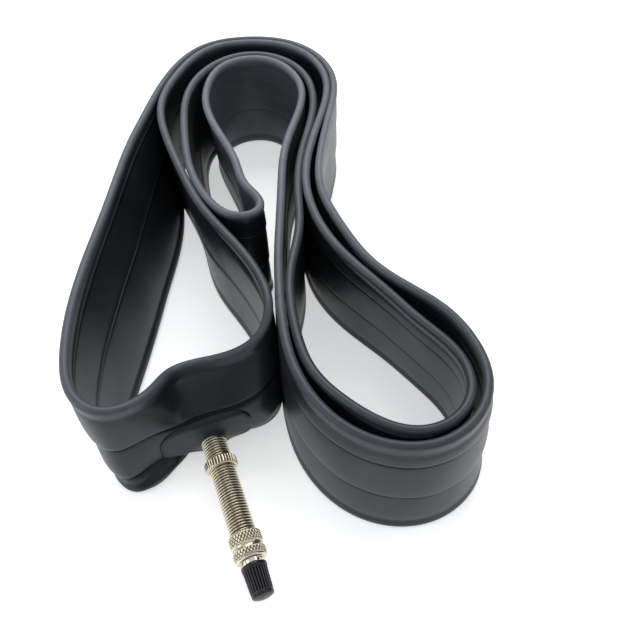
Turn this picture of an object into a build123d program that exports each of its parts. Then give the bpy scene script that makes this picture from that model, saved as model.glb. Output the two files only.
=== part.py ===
from build123d import *
import math
import os

os.makedirs("parts", exist_ok=True)

# Bicycle inner tube, 28 inch size, deflated and folded loosely on its edge, with a
# Woods valve. Millimetres. +Z is up, +Y is the long way of the folded bundle,
# and the valve points towards -Y. The origin is the bottom centre of the whole part.

# ---- driving dimensions -------------------------------------------------------------
WALL = 0.85            # butyl wall
BAND_T = 2.5           # flattened tube, both walls and the air left between them
CAV_T = BAND_T - 2 * WALL
SPLIT_LO = 0.25        # where the two moulded ribs run, as shares of the flat width
SPLIT_HI = 0.62

# valve stem
STEM_R = 3.9           # major radius of the 7.8 mm stem thread
THREAD_PITCH = 0.794   # 32 threads to the inch
STEM_BORE_R = 2.45
STEM_TOP = 42.6        # height of the stem's mouth over the middle of the flat tube
FOOT_R = 5.6
FOOT_Z = 1.9
FOOT_T = 1.0
NOTCH_W = 1.6          # anti-turn notches in the stem's mouth
NOTCH_D = 0.8

# rubber base patch
PAD_L = 28.0
PAD_W = 13.6
PAD_T = 1.2
BOSS_R = 6.4
BOSS_TOP_R = 4.9
BOSS_TOP = 3.4

# rim nut
RIM_NUT_R = 5.4
RIM_NUT_Z = 10.5
RIM_NUT_H = 3.2

# union nut
UNION_R = 5.15
UNION_Z = 36.8
UNION_H = 8.4
UNION_LIP = 1.7        # thickness of the lip that holds the core down

# valve core
CORE_Z = 26.0          # inner end of the core
CORE_R = 2.1
COLLAR_R = 2.85
NIPPLE_R = 2.6
NIPPLE_TOP = 56.0
RUN = 0.05             # radial running clearance

# dust cap
CAP_Z = 47.9
CAP_TOP = 58.2
CAP_R = 4.05

# valve axis: V0 lies in the middle of the flat tube, VD points out of the stem
V0 = Vector(-23.360, -76.145, 12.27)
VD = Vector(0.35919, -0.92934, -0.08548).normalized()
VX = (Vector(0, 0, 1) - VD * VD.dot(Vector(0, 0, 1))).normalized()   # up, square to VD
VALVE = Plane(origin=V0, x_dir=VX, z_dir=VD)
PAD_REACH = 16.5       # flat stretch each side of the valve
EASE = 16.0            # length over which the band eases back to its plain section
RIB_LO = 7.4           # flat stretch below and above the valve axis
RIB_HI = 7.4

# ---- route of the folded tube ---------------------------------------------------------
# Each row is one station: top edge x, y, z, then bottom edge x, y. The band stands on its
# bottom edge and runs as one closed loop: from the valve round the small front lobe, up
# the left side, over the top as the outermost turn, down the right side, round the large
# front lobe outside, up and over as the innermost turn, round a small inner fold, over
# again as the middle turn, round the large lobe inside, up and over a last time, and back
# down the middle to the valve. The first six stations are the flat stretch at the valve.
ROUTE = [
    (-12.08, -60.92, 37.89, -10.83, -67.93), (-17.45, -61.78, 35.65, -15.34, -68.40),
    (-23.18, -62.09, 33.92, -20.60, -68.63), (-33.13, -65.52, 34.12, -30.43, -73.55),
    (-35.39, -69.86, 36.35, -33.76, -78.64), (-36.44, -74.57, 38.69, -36.23, -83.30),
    (-37.58, -78.29, 40.30, -38.30, -86.43), (-38.99, -81.00, 41.31, -40.19, -88.26),
    (-40.90, -83.43, 42.12, -42.38, -89.48), (-43.25, -85.39, 42.77, -44.76, -89.93),
    (-45.94, -86.69, 43.25, -47.16, -89.53), (-48.82, -87.20, 43.58, -49.37, -88.30),
    (-51.72, -86.89, 43.78, -51.24, -86.35), (-54.46, -85.81, 43.90, -52.69, -83.89),
    (-56.94, -84.11, 43.96, -53.73, -81.15), (-59.07, -81.91, 43.99, -54.39, -78.28),
    (-62.32, -76.53, 44.03, -54.85, -72.52), (-64.46, -70.42, 44.06, -54.56, -66.86),
    (-66.93, -57.71, 44.13, -53.41, -55.65), (-68.25, -42.06, 44.25, -52.27, -41.32),
    (-68.14, -20.81, 44.44, -51.41, -20.62), (-67.19, 2.77, 44.57, -51.10, 3.75),
    (-66.68, 20.78, 44.58, -50.19, 21.68), (-65.99, 36.52, 44.65, -49.17, 35.87),
    (-65.44, 42.76, 44.75, -49.69, 41.60), (-64.23, 51.80, 45.01, -52.14, 50.49),
    (-61.94, 66.36, 45.37, -57.40, 65.74), (-60.62, 75.14, 45.39, -59.11, 74.91),
    (-59.13, 83.97, 45.35, -59.12, 83.96), (-57.23, 92.74, 45.30, -57.43, 92.77),
    (-53.78, 104.18, 45.29, -53.69, 104.17), (-50.17, 112.38, 45.30, -50.06, 112.36),
    (-46.99, 117.42, 45.30, -46.95, 117.41), (-43.04, 121.83, 45.31, -43.07, 121.83),
    (-38.29, 125.31, 45.30, -38.36, 125.31), (-32.92, 127.72, 45.29, -32.97, 127.73),
    (-24.25, 129.63, 45.29, -24.24, 129.63), (-15.33, 129.83, 45.30, -15.31, 129.82),
    (-9.45, 128.96, 45.32, -9.43, 128.96), (-3.79, 127.18, 45.33, -3.79, 127.18),
    (1.46, 124.44, 45.33, 1.45, 124.44), (6.14, 120.82, 45.31, 6.13, 120.81),
    (10.18, 116.46, 45.29, 10.17, 116.47), (14.97, 108.95, 45.26, 14.98, 108.96),
    (18.21, 100.63, 45.25, 18.22, 100.64), (19.87, 91.85, 45.29, 19.88, 91.86),
    (20.14, 82.90, 45.37, 20.14, 82.89), (18.60, 68.01, 45.55, 18.59, 68.00),
    (15.12, 44.25, 45.71, 15.16, 44.29), (13.49, 26.40, 45.71, 13.43, 26.35),
    (13.66, 17.44, 45.70, 13.61, 17.39), (15.08, 8.54, 45.69, 15.25, 8.67),
    (17.76, -0.13, 45.70, 18.42, 0.41), (23.57, -14.18, 45.70, 25.62, -12.51),
    (29.13, -24.97, 45.70, 32.44, -22.21), (34.47, -32.23, 45.70, 38.44, -28.80),
    (40.93, -38.51, 45.70, 45.15, -34.69), (50.02, -46.29, 45.70, 54.23, -42.51),
    (55.88, -52.74, 45.70, 60.16, -49.45), (60.19, -60.03, 45.70, 64.63, -57.68),
    (63.08, -67.84, 45.70, 67.44, -66.80), (64.13, -73.24, 45.70, 68.19, -73.12),
    (64.22, -78.76, 45.70, 67.80, -79.39), (63.14, -84.23, 45.70, 66.07, -85.31),
    (60.86, -89.42, 45.70, 63.03, -90.59), (57.50, -94.04, 45.70, 58.91, -95.05),
    (53.20, -97.81, 45.70, 53.96, -98.54), (48.14, -100.47, 45.70, 48.42, -100.90),
    (42.53, -101.83, 45.70, 42.56, -102.03), (36.68, -101.86, 45.70, 36.64, -101.92),
    (30.90, -100.67, 45.70, 30.88, -100.66), (25.44, -98.37, 45.70, 25.47, -98.33),
    (20.48, -95.11, 45.70, 20.54, -95.07), (16.12, -91.08, 45.70, 16.17, -91.05),
    (10.74, -83.97, 45.70, 10.74, -83.97), (6.72, -75.98, 45.70, 6.69, -76.00),
    (3.95, -67.46, 45.70, 3.93, -67.47), (1.74, -55.70, 45.70, 1.75, -55.70),
    (-0.25, -34.82, 45.70, -0.25, -34.82), (-0.92, -10.85, 45.70, -0.93, -10.85),
    (-1.09, 13.13, 45.70, -1.09, 13.14), (-0.99, 31.11, 45.70, -0.99, 31.11),
    (0.17, 43.03, 45.70, 0.17, 43.03), (4.71, 66.57, 45.70, 4.71, 66.57),
    (5.67, 75.48, 45.70, 5.67, 75.48), (5.24, 84.39, 45.70, 5.24, 84.39),
    (3.91, 90.18, 45.70, 3.90, 90.18), (1.70, 95.69, 45.70, 1.70, 95.69),
    (-1.33, 100.79, 45.70, -1.33, 100.80), (-5.16, 105.27, 45.70, -5.16, 105.26),
    (-9.88, 108.62, 45.70, -9.88, 108.61), (-12.54, 109.68, 45.70, -12.54, 109.67),
    (-15.34, 110.28, 45.70, -15.34, 110.27), (-18.22, 110.39, 45.70, -18.21, 110.40),
    (-21.08, 110.05, 45.70, -21.08, 110.07), (-23.86, 109.27, 45.70, -23.86, 109.29),
    (-26.48, 108.06, 45.70, -26.49, 108.09), (-28.88, 106.47, 45.70, -28.89, 106.49),
    (-30.98, 104.52, 45.70, -31.00, 104.53), (-32.76, 102.25, 45.70, -32.77, 102.24),
    (-35.31, 97.01, 45.70, -35.13, 96.97), (-36.77, 91.22, 45.70, -35.94, 91.22),
    (-37.47, 85.21, 45.70, -35.37, 85.36), (-37.40, 76.17, 45.70, -32.71, 76.74),
    (-35.90, 67.33, 45.70, -29.30, 68.30), (-32.18, 55.91, 45.70, -24.90, 57.16),
    (-26.34, 41.87, 45.70, -20.46, 43.05), (-22.13, 30.54, 45.70, -18.18, 31.33),
    (-18.85, 19.14, 45.70, -16.38, 19.42), (-16.36, 13.86, 45.70, -14.42, 13.90),
    (-11.50, 6.62, 45.70, -10.12, 6.40), (-10.48, 4.14, 45.70, -9.21, 3.87),
    (-10.22, 1.66, 45.70, -9.02, 1.38), (-10.84, -0.65, 45.70, -9.70, -0.89),
    (-12.29, -2.51, 45.70, -11.20, -2.69), (-14.40, -3.72, 45.70, -13.32, -3.81),
    (-16.89, -4.14, 45.70, -15.77, -4.11), (-19.48, -3.76, 45.70, -18.27, -3.59),
    (-21.97, -2.66, 45.70, -20.58, -2.31), (-24.22, -0.98, 45.70, -22.58, -0.43),
    (-28.00, 3.47, 45.70, -25.73, 4.44), (-32.56, 11.27, 45.70, -29.16, 12.66),
    (-37.31, 22.54, 45.70, -32.43, 23.93), (-40.64, 34.43, 45.70, -34.70, 35.34),
    (-44.40, 55.50, 45.70, -38.56, 55.54), (-45.84, 70.36, 45.70, -41.74, 70.28),
    (-45.62, 79.28, 45.70, -42.86, 79.26), (-44.12, 88.14, 45.70, -42.58, 88.19),
    (-42.27, 93.88, 45.70, -41.37, 93.94), (-39.68, 99.33, 45.70, -39.23, 99.38),
    (-36.33, 104.32, 45.70, -36.16, 104.34), (-32.18, 108.58, 45.70, -32.16, 108.57),
    (-27.26, 111.81, 45.70, -27.30, 111.78), (-21.75, 113.67, 45.70, -21.78, 113.64),
    (-15.96, 113.98, 45.70, -15.97, 113.97), (-10.29, 112.72, 45.70, -10.28, 112.73),
    (-5.08, 110.05, 45.70, -5.07, 110.07), (-0.56, 106.28, 45.70, -0.55, 106.29),
    (3.19, 101.70, 45.70, 3.19, 101.70), (6.13, 96.55, 45.70, 6.13, 96.54),
    (9.08, 88.13, 45.70, 9.07, 88.12), (10.51, 79.29, 45.70, 10.51, 79.29),
    (10.67, 67.33, 45.70, 10.68, 67.34), (9.04, 52.53, 45.70, 9.03, 52.54),
    (6.00, 31.84, 45.70, 5.97, 31.83), (5.23, 16.74, 45.70, 5.21, 16.73),
    (6.28, -7.23, 45.70, 6.28, -7.24), (5.40, -19.16, 45.70, 5.40, -19.16),
    (3.66, -34.03, 45.70, 3.66, -34.02), (3.74, -42.99, 45.70, 3.74, -43.00),
    (5.23, -54.86, 45.70, 5.23, -54.88), (7.87, -66.56, 45.70, 7.88, -66.53),
    (11.17, -74.84, 45.70, 11.17, -74.81), (14.40, -79.77, 45.70, 14.40, -79.80),
    (20.56, -86.21, 45.70, 20.55, -86.30), (27.61, -91.77, 45.70, 27.61, -91.76),
    (32.77, -94.73, 45.70, 32.78, -94.62), (38.33, -96.53, 45.70, 38.33, -96.41),
    (41.21, -96.82, 45.70, 41.21, -96.74), (44.07, -96.64, 45.70, 44.08, -96.63),
    (46.87, -95.98, 45.70, 46.91, -96.06), (49.51, -94.87, 45.70, 49.62, -95.05),
    (51.93, -93.36, 45.70, 52.18, -93.62), (55.86, -89.38, 45.70, 56.66, -89.64),
    (58.27, -84.54, 45.70, 60.06, -84.45), (59.03, -79.27, 45.70, 62.15, -78.43),
    (58.28, -73.99, 45.70, 62.77, -72.04), (56.27, -69.00, 45.70, 61.79, -65.72),
    (53.31, -64.45, 45.70, 59.30, -59.81), (47.94, -58.09, 45.70, 53.85, -51.91),
    (35.16, -41.57, 45.70, 40.09, -35.94), (22.27, -24.66, 45.70, 25.45, -21.19),
    (17.58, -16.82, 45.70, 19.84, -14.35), (13.78, -8.42, 45.70, 15.17, -6.94),
    (10.94, 0.35, 45.70, 11.62, 1.03), (9.10, 9.30, 45.70, 9.32, 9.47),
    (8.28, 18.26, 45.70, 8.31, 18.22), (8.68, 30.09, 45.70, 8.66, 30.05),
    (11.32, 47.87, 45.70, 11.33, 47.89), (15.84, 71.51, 45.70, 15.83, 71.53),
    (16.87, 83.44, 45.70, 16.86, 83.43), (16.33, 92.37, 45.70, 16.32, 92.35),
    (14.31, 101.07, 45.70, 14.31, 101.06), (10.73, 109.24, 45.70, 10.73, 109.23),
    (7.44, 114.18, 45.70, 7.44, 114.18), (3.39, 118.48, 45.70, 3.39, 118.50),
    (-1.39, 121.93, 45.70, -1.39, 121.95), (-6.77, 124.34, 45.70, -6.77, 124.35),
    (-12.54, 125.69, 45.70, -12.53, 125.70), (-21.44, 126.06, 45.70, -21.44, 126.05),
    (-30.23, 124.67, 45.70, -30.24, 124.66), (-35.69, 122.50, 45.70, -35.69, 122.50),
    (-40.44, 119.10, 45.70, -40.44, 119.10), (-44.30, 114.66, 45.70, -44.29, 114.66),
    (-48.63, 106.87, 45.70, -48.62, 106.86), (-52.61, 95.60, 45.70, -52.66, 95.60),
    (-54.80, 86.88, 45.70, -54.81, 86.89), (-56.13, 78.00, 45.70, -55.71, 78.01),
    (-56.31, 72.06, 45.70, -55.26, 72.05), (-55.41, 63.30, 45.70, -52.89, 63.25),
    (-52.58, 51.94, 45.69, -47.90, 51.98), (-46.46, 35.15, 45.71, -40.10, 35.61),
    (-41.81, 23.95, 45.71, -35.94, 24.51), (-34.21, 7.28, 45.68, -31.04, 7.46),
    (-29.64, -0.73, 45.69, -27.90, -0.74), (-22.65, -10.84, 45.73, -22.14, -10.89),
    (-12.18, -25.57, 45.68, -12.49, -25.95), (-6.83, -35.50, 45.66, -7.06, -37.38),
    (-4.21, -42.65, 45.81, -3.64, -47.09), (-3.29, -47.51, 45.47, -2.37, -53.82),
    (-3.20, -50.07, 44.93, -2.36, -57.06), (-3.49, -52.66, 44.09, -2.87, -60.08),
    (-4.31, -55.16, 42.95, -3.91, -62.76), (-5.78, -57.40, 41.58, -5.45, -64.97),
    (-7.92, -59.22, 40.10, -7.38, -66.61),
]
END_LIFT = 1.3         # the top row is the middle of the rounded top edge, this far below the top


def rails():
    """Middle surface of the band: four points at each station, bottom edge to top edge."""
    n = len(ROUTE)
    mid = [((a[0] + a[3]) / 2, (a[1] + a[4]) / 2) for a in ROUTE]
    out = []
    tangent_v = Vector(VD.Y, -VD.X, 0).normalized()
    for i, (xt, yt, zt, xb, yb) in enumerate(ROUTE):
        p, q = mid[i - 1], mid[(i + 1) % n]
        t = Vector(q[0] - p[0], q[1] - p[1], 0).normalized()
        side = Vector(-t.Y, t.X, 0)
        top = Vector(xt, yt, zt + END_LIFT)
        bot = Vector(xb, yb, 0)
        lean = (top - bot).normalized()
        bot = Vector(xb, yb, BAND_T / 2 * abs(lean.dot(side)))
        lo = bot + (top - bot) * SPLIT_LO
        hi = bot + (top - bot) * SPLIT_HI
        # the stretch that carries the valve is flat and square to the stem
        m = Vector(*mid[i], 0)
        along = (m - Vector(V0.X, V0.Y, 0)).dot(tangent_v)
        near = (m - Vector(V0.X, V0.Y, 0)).length < PAD_REACH + EASE + 8
        if near and (i < 24 or i > n - 24):
            a = abs(along)
            share = 1.0 if a <= PAD_REACH else max(0.0, 1 - (a - PAD_REACH) / EASE)
            share = share * share * (3 - 2 * share)
            if share > 0:
                flat_lo = V0 + tangent_v * along - VX * RIB_LO
                flat_hi = V0 + tangent_v * along + VX * RIB_HI
                lo = lo + (flat_lo - lo) * share
                hi = hi + (flat_hi - hi) * share
                under = BAND_T / 2 * (1 + 0.15 * share)
                bot = Vector(bot.X, bot.Y, bot.Z + (under - bot.Z) * share)
        out.append((bot, lo, hi, top, side))
    return out


def sections(half, trim):
    """Closed eight-sided section at each station, half thick each side of the middle."""
    loops = []
    for bot, lo, hi, top, side in rails():
        pts = [bot, lo, hi, top]
        # end points drawn in along their own panel
        if trim > 0:
            pts[0] = bot + (lo - bot).normalized() * trim
            pts[3] = top + (hi - top).normalized() * trim
        dirs = [(pts[k + 1] - pts[k]).normalized() for k in range(3)]
        face = []
        for d in dirs:
            up = d.dot(Vector(0, 0, 1))
            ac = d.dot(side)
            face.append((side * up - Vector(0, 0, 1) * ac).normalized())
        mit = [face[0]]
        for k in range(2):
            s = (face[k] + face[k + 1]).normalized()
            mit.append(s * (1.0 / max(0.5, s.dot(face[k]))))
        mit.append(face[2])
        # the two ends are cut level
        ends = []
        for p, m in ((pts[0], mit[0]), (pts[3], mit[3])):
            ends.append((p + m * half, p - m * half))
        outer = [ends[0][0], pts[1] + mit[1] * half, pts[2] + mit[2] * half, ends[1][0]]
        inner = [ends[0][1], pts[1] - mit[1] * half, pts[2] - mit[2] * half, ends[1][1]]
        loops.append(outer + inner[::-1])
    return loops


def ring_solid(loops):
    """Solid whose skin is the ruled strip between neighbouring sections, all the way round."""
    faces = []
    n = len(loops)
    for i in range(n):
        a, b = loops[i], loops[(i + 1) % n]
        for k in range(8):
            j = (k + 1) % 8
            faces.append(Face.make_surface_from_curves(Edge.make_line(a[k], a[j]),
                                                       Edge.make_line(b[k], b[j])))
    return Solid(Shell(faces))


def turned(profile):
    """Solid of revolution about the valve axis, from (radius, height) points."""
    with BuildPart() as p:
        with BuildSketch(Plane.XZ):
            with BuildLine():
                Polyline(*profile, close=True)
            make_face()
        revolve(axis=Axis.Z)
    return p.part.solids()[0]


def place(shape):
    return VALVE.location * shape


def write(name, shape, label=None):
    s = shape.solids()
    assert len(s) == 1, (name, len(s))
    s = s[0]
    s.label = name
    export_step(s, "parts/%s.step" % name)
    bb = s.bounding_box()
    print("%-16s volume %9.1f mm3  box %s %s valid %s" % (
        name, s.volume, tuple(round(v, 2) for v in tuple(bb.min)),
        tuple(round(v, 2) for v in tuple(bb.max)), s.is_valid))
    return s


# ---- tube body ------------------------------------------------------------------------
outer = ring_solid(sections(BAND_T / 2, 0.0))
cavity = ring_solid(sections(CAV_T / 2, WALL))
hole = place(Cylinder(2.5, 3.0, align=(Align.CENTER, Align.CENTER, Align.MIN)))
tube = outer - cavity - hole
write("tube_body", tube)

# ---- valve stem, plain at its major diameter ---------------------------------------------
stem = turned([(1.5, FOOT_Z), (FOOT_R, FOOT_Z), (FOOT_R, FOOT_Z + FOOT_T),
               (STEM_R, FOOT_Z + FOOT_T), (STEM_R, STEM_TOP - 0.35), (STEM_R - 0.35, STEM_TOP),
               (2.98, STEM_TOP), (STEM_BORE_R, STEM_TOP - 3.2), (STEM_BORE_R, 7.0),
               (1.5, 6.0)])
notch = Pos(0, 0, STEM_TOP - NOTCH_D / 2 + 0.5) * Box(12, NOTCH_W, NOTCH_D + 1.0)
stem_local = stem - notch
write("valve_stem", place(stem_local))

# ---- vulcanised base patch: oval pad with a collar round the stem --------------------------
pad_z = BAND_T / 2
with BuildPart() as pad:
    with BuildSketch(Plane.XY.offset(pad_z)):
        SlotOverall(PAD_L, PAD_W, rotation=90)
    extrude(amount=PAD_T)
    with BuildSketch(Plane.XY.offset(pad_z)):
        Circle(2.5)
    extrude(amount=PAD_T, mode=Mode.SUBTRACT)
collar = turned([(2.5, pad_z), (BOSS_R, pad_z), (BOSS_R, pad_z + PAD_T),
                 (BOSS_TOP_R, BOSS_TOP), (2.5, BOSS_TOP)])
stem_room = turned([(0, FOOT_Z), (FOOT_R, FOOT_Z), (FOOT_R, FOOT_Z + FOOT_T),
                    (STEM_R, FOOT_Z + FOOT_T), (STEM_R, 9.0), (0, 9.0)])
base = (pad.part + collar) - stem_room
write("valve_base", place(base))

# ---- rim nut ----------------------------------------------------------------------------
c = 0.35
rim_nut = turned([(STEM_R + RUN, RIM_NUT_Z + 0.25), (STEM_R + 0.3, RIM_NUT_Z),
                  (RIM_NUT_R - c, RIM_NUT_Z), (RIM_NUT_R, RIM_NUT_Z + c),
                  (RIM_NUT_R, RIM_NUT_Z + RIM_NUT_H - c), (RIM_NUT_R - c, RIM_NUT_Z + RIM_NUT_H),
                  (STEM_R + 0.3, RIM_NUT_Z + RIM_NUT_H),
                  (STEM_R + RUN, RIM_NUT_Z + RIM_NUT_H - 0.25)])
write("rim_nut", place(rim_nut))

# ---- union nut: threaded skirt, knurled in two bands, with an inturned lip ------------------
zt = UNION_Z + UNION_H
union = turned([(STEM_R + RUN, UNION_Z), (UNION_R - 0.45, UNION_Z), (UNION_R, UNION_Z + 0.45),
                (UNION_R, UNION_Z + 3.5), (UNION_R - 0.3, UNION_Z + 3.8),
                (UNION_R - 0.3, UNION_Z + 5.0), (UNION_R, UNION_Z + 5.3),
                (UNION_R, zt - 0.7), (UNION_R - 0.7, zt), (COLLAR_R + 0.12, zt),
                (COLLAR_R + 0.12, zt - UNION_LIP), (STEM_R + RUN, zt - UNION_LIP)])
write("union_nut", place(union))

# ---- valve core: nipple, flange and tail ----------------------------------------------------
flange_top = zt - UNION_LIP - 0.05
core = turned([(1.3, CORE_Z), (CORE_R, CORE_Z), (CORE_R, STEM_TOP), (3.4, STEM_TOP),
               (3.4, flange_top), (COLLAR_R, flange_top), (COLLAR_R, CAP_Z - 0.4),
               (NIPPLE_R, CAP_Z - 0.15), (NIPPLE_R, NIPPLE_TOP - 0.4),
               (NIPPLE_R - 0.4, NIPPLE_TOP), (0.8, NIPPLE_TOP), (0.8, 36.6), (1.3, 35.8)])
lug = Pos(0, 0, STEM_TOP - 0.35) * Box(2 * 3.4, NOTCH_W - 0.3, 0.7)
lug = lug - Pos(0, 0, STEM_TOP - 0.35) * Cylinder(2.96, 3)
core_local = core + lug
# the lugs hang below the flange and drop into the stem's notches
core_local = core_local.solids()
core_local = core_local[0] if len(core_local) == 1 else core
write("core_body", place(core_local))

# ---- rubber seal on the core, pressed into the coned mouth of the stem -----------------------
seal = turned([(CORE_R, STEM_TOP - 4.0), (2.28, STEM_TOP - 4.0), (2.42, STEM_TOP - 3.2),
               (2.90, STEM_TOP - 0.3), (2.90, STEM_TOP - 0.1), (CORE_R, STEM_TOP - 0.1)])
write("core_seal", place(seal))

# ---- check plunger inside the core's tail, with its rubber face and the cage below it ----------
cage = turned([(0.6, CORE_Z + 0.1), (1.3, CORE_Z + 0.1), (1.3, CORE_Z + 1.6), (0.6, CORE_Z + 1.6)])
write("core_cage", place(cage))
plunger = turned([(0, 29.4), (0.95, 29.4), (1.1, 29.8), (1.1, 33.4), (0.55, 33.4), (0.55, 34.2),
                  (0, 34.2)])
write("check_plunger", place(plunger))
face = turned([(0.55, 33.4), (1.12, 33.4), (1.12, 35.2), (0.75, 35.9), (0, 35.9), (0, 34.2),
               (0.55, 34.2)])
write("plunger_seal", place(face))

# ---- dust cap -----------------------------------------------------------------------------
cap = turned([(NIPPLE_R + RUN, CAP_Z), (CAP_R - 0.15, CAP_Z), (CAP_R, CAP_Z + 0.15),
              (CAP_R, CAP_Z + 1.2), (CAP_R - 0.22, CAP_Z + 1.4), (3.5, CAP_TOP - 1.1),
              (3.3, CAP_TOP - 0.45), (2.4, CAP_TOP - 0.05), (0, CAP_TOP),
              (0, NIPPLE_TOP + 0.5), (NIPPLE_R + RUN, NIPPLE_TOP + 0.5)])
write("dust_cap", place(cap))
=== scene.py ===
import math

import bpy
import numpy as np
from mathutils import Matrix, Vector
from mathutils.bvhtree import BVHTree


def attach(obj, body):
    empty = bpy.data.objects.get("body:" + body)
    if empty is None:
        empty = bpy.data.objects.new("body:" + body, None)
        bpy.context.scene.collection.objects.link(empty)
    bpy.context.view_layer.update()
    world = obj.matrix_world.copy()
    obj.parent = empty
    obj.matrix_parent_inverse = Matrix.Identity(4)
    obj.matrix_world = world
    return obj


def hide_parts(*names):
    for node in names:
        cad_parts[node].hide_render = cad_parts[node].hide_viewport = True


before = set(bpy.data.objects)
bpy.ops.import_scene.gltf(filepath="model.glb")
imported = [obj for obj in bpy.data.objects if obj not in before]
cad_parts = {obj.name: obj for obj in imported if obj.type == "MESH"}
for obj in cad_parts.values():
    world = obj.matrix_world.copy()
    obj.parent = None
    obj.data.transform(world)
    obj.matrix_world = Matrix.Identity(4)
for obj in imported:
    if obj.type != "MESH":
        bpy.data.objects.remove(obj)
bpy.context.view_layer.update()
MM = 0.001

# ---------------------------------------------------------------- camera, at the photo's angle
cam_data = bpy.data.cameras.new("Camera")
cam_data.sensor_width = 36.0
cam_data.lens = 38.98
cam = bpy.data.objects.new("Camera", cam_data)
cam.location = (0.01384, -0.201745, 0.214)
cam.rotation_euler = (math.radians(41.0), 0.0, 0.0)
cam_data.clip_start = 0.01
cam_data.clip_end = 30.0
bpy.context.scene.collection.objects.link(cam)
bpy.context.scene.camera = cam
bpy.context.scene.view_settings.view_transform = "Standard"


# ---------------------------------------------------------------- node helpers
def new_mat(name):
    m = bpy.data.materials.new(name)
    m.use_nodes = True
    nt = m.node_tree
    nt.nodes.clear()
    out = nt.nodes.new("ShaderNodeOutputMaterial")
    bsdf = nt.nodes.new("ShaderNodeBsdfPrincipled")
    nt.links.new(bsdf.outputs["BSDF"], out.inputs["Surface"])
    return m, nt, bsdf


def coords(nt):
    return nt.nodes.new("ShaderNodeTexCoord").outputs["Object"]


def noise(nt, src, scale, detail=4.0, rough=0.55, distortion=0.0):
    n = nt.nodes.new("ShaderNodeTexNoise")
    n.inputs["Scale"].default_value = scale
    n.inputs["Detail"].default_value = detail
    n.inputs["Roughness"].default_value = rough
    n.inputs["Distortion"].default_value = distortion
    nt.links.new(src, n.inputs["Vector"])
    return n.outputs["Fac"]


def ramp(nt, fac, stops):
    r = nt.nodes.new("ShaderNodeValToRGB")
    els = r.color_ramp.elements
    while len(els) < len(stops):
        els.new(0.5)
    for e, (pos, col) in zip(els, stops):
        e.position = pos
        e.color = (*col, 1.0) if len(col) == 3 else col
    nt.links.new(fac, r.inputs["Fac"])
    return r.outputs["Color"]


def remap(nt, fac, a, b, c, d):
    r = nt.nodes.new("ShaderNodeMapRange")
    for k, v in zip(("From Min", "From Max", "To Min", "To Max"), (a, b, c, d)):
        r.inputs[k].default_value = v
    nt.links.new(fac, r.inputs["Value"])
    return r.outputs["Result"]


def mix(nt, fac, a, b, kind="MIX"):
    m = nt.nodes.new("ShaderNodeMix")
    m.data_type = "RGBA"
    m.blend_type = kind
    for sock, val in (("Factor", fac), ("A", a), ("B", b)):
        tgt = [s for s in m.inputs if s.name == sock and (s.type == ("VALUE" if sock == "Factor" else "RGBA"))][0]
        if isinstance(val, (int, float)):
            tgt.default_value = val
        elif isinstance(val, tuple):
            tgt.default_value = (*val, 1.0)
        else:
            nt.links.new(val, tgt)
    return [o for o in m.outputs if o.type == "RGBA"][0]


def math_node(nt, op, a, b=None):
    m = nt.nodes.new("ShaderNodeMath")
    m.operation = op
    for k, v in enumerate((a, b)):
        if v is None:
            continue
        if isinstance(v, (int, float)):
            m.inputs[k].default_value = v
        else:
            nt.links.new(v, m.inputs[k])
    return m.outputs[0]


def bump(nt, bsdf, height, strength, distance):
    b = nt.nodes.new("ShaderNodeBump")
    b.inputs["Strength"].default_value = strength
    b.inputs["Distance"].default_value = distance
    nt.links.new(height, b.inputs["Height"])
    nt.links.new(b.outputs["Normal"], bsdf.inputs["Normal"])


def attribute(nt, name):
    a = nt.nodes.new("ShaderNodeAttribute")
    a.attribute_name = name
    return a.outputs["Fac"]


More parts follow.
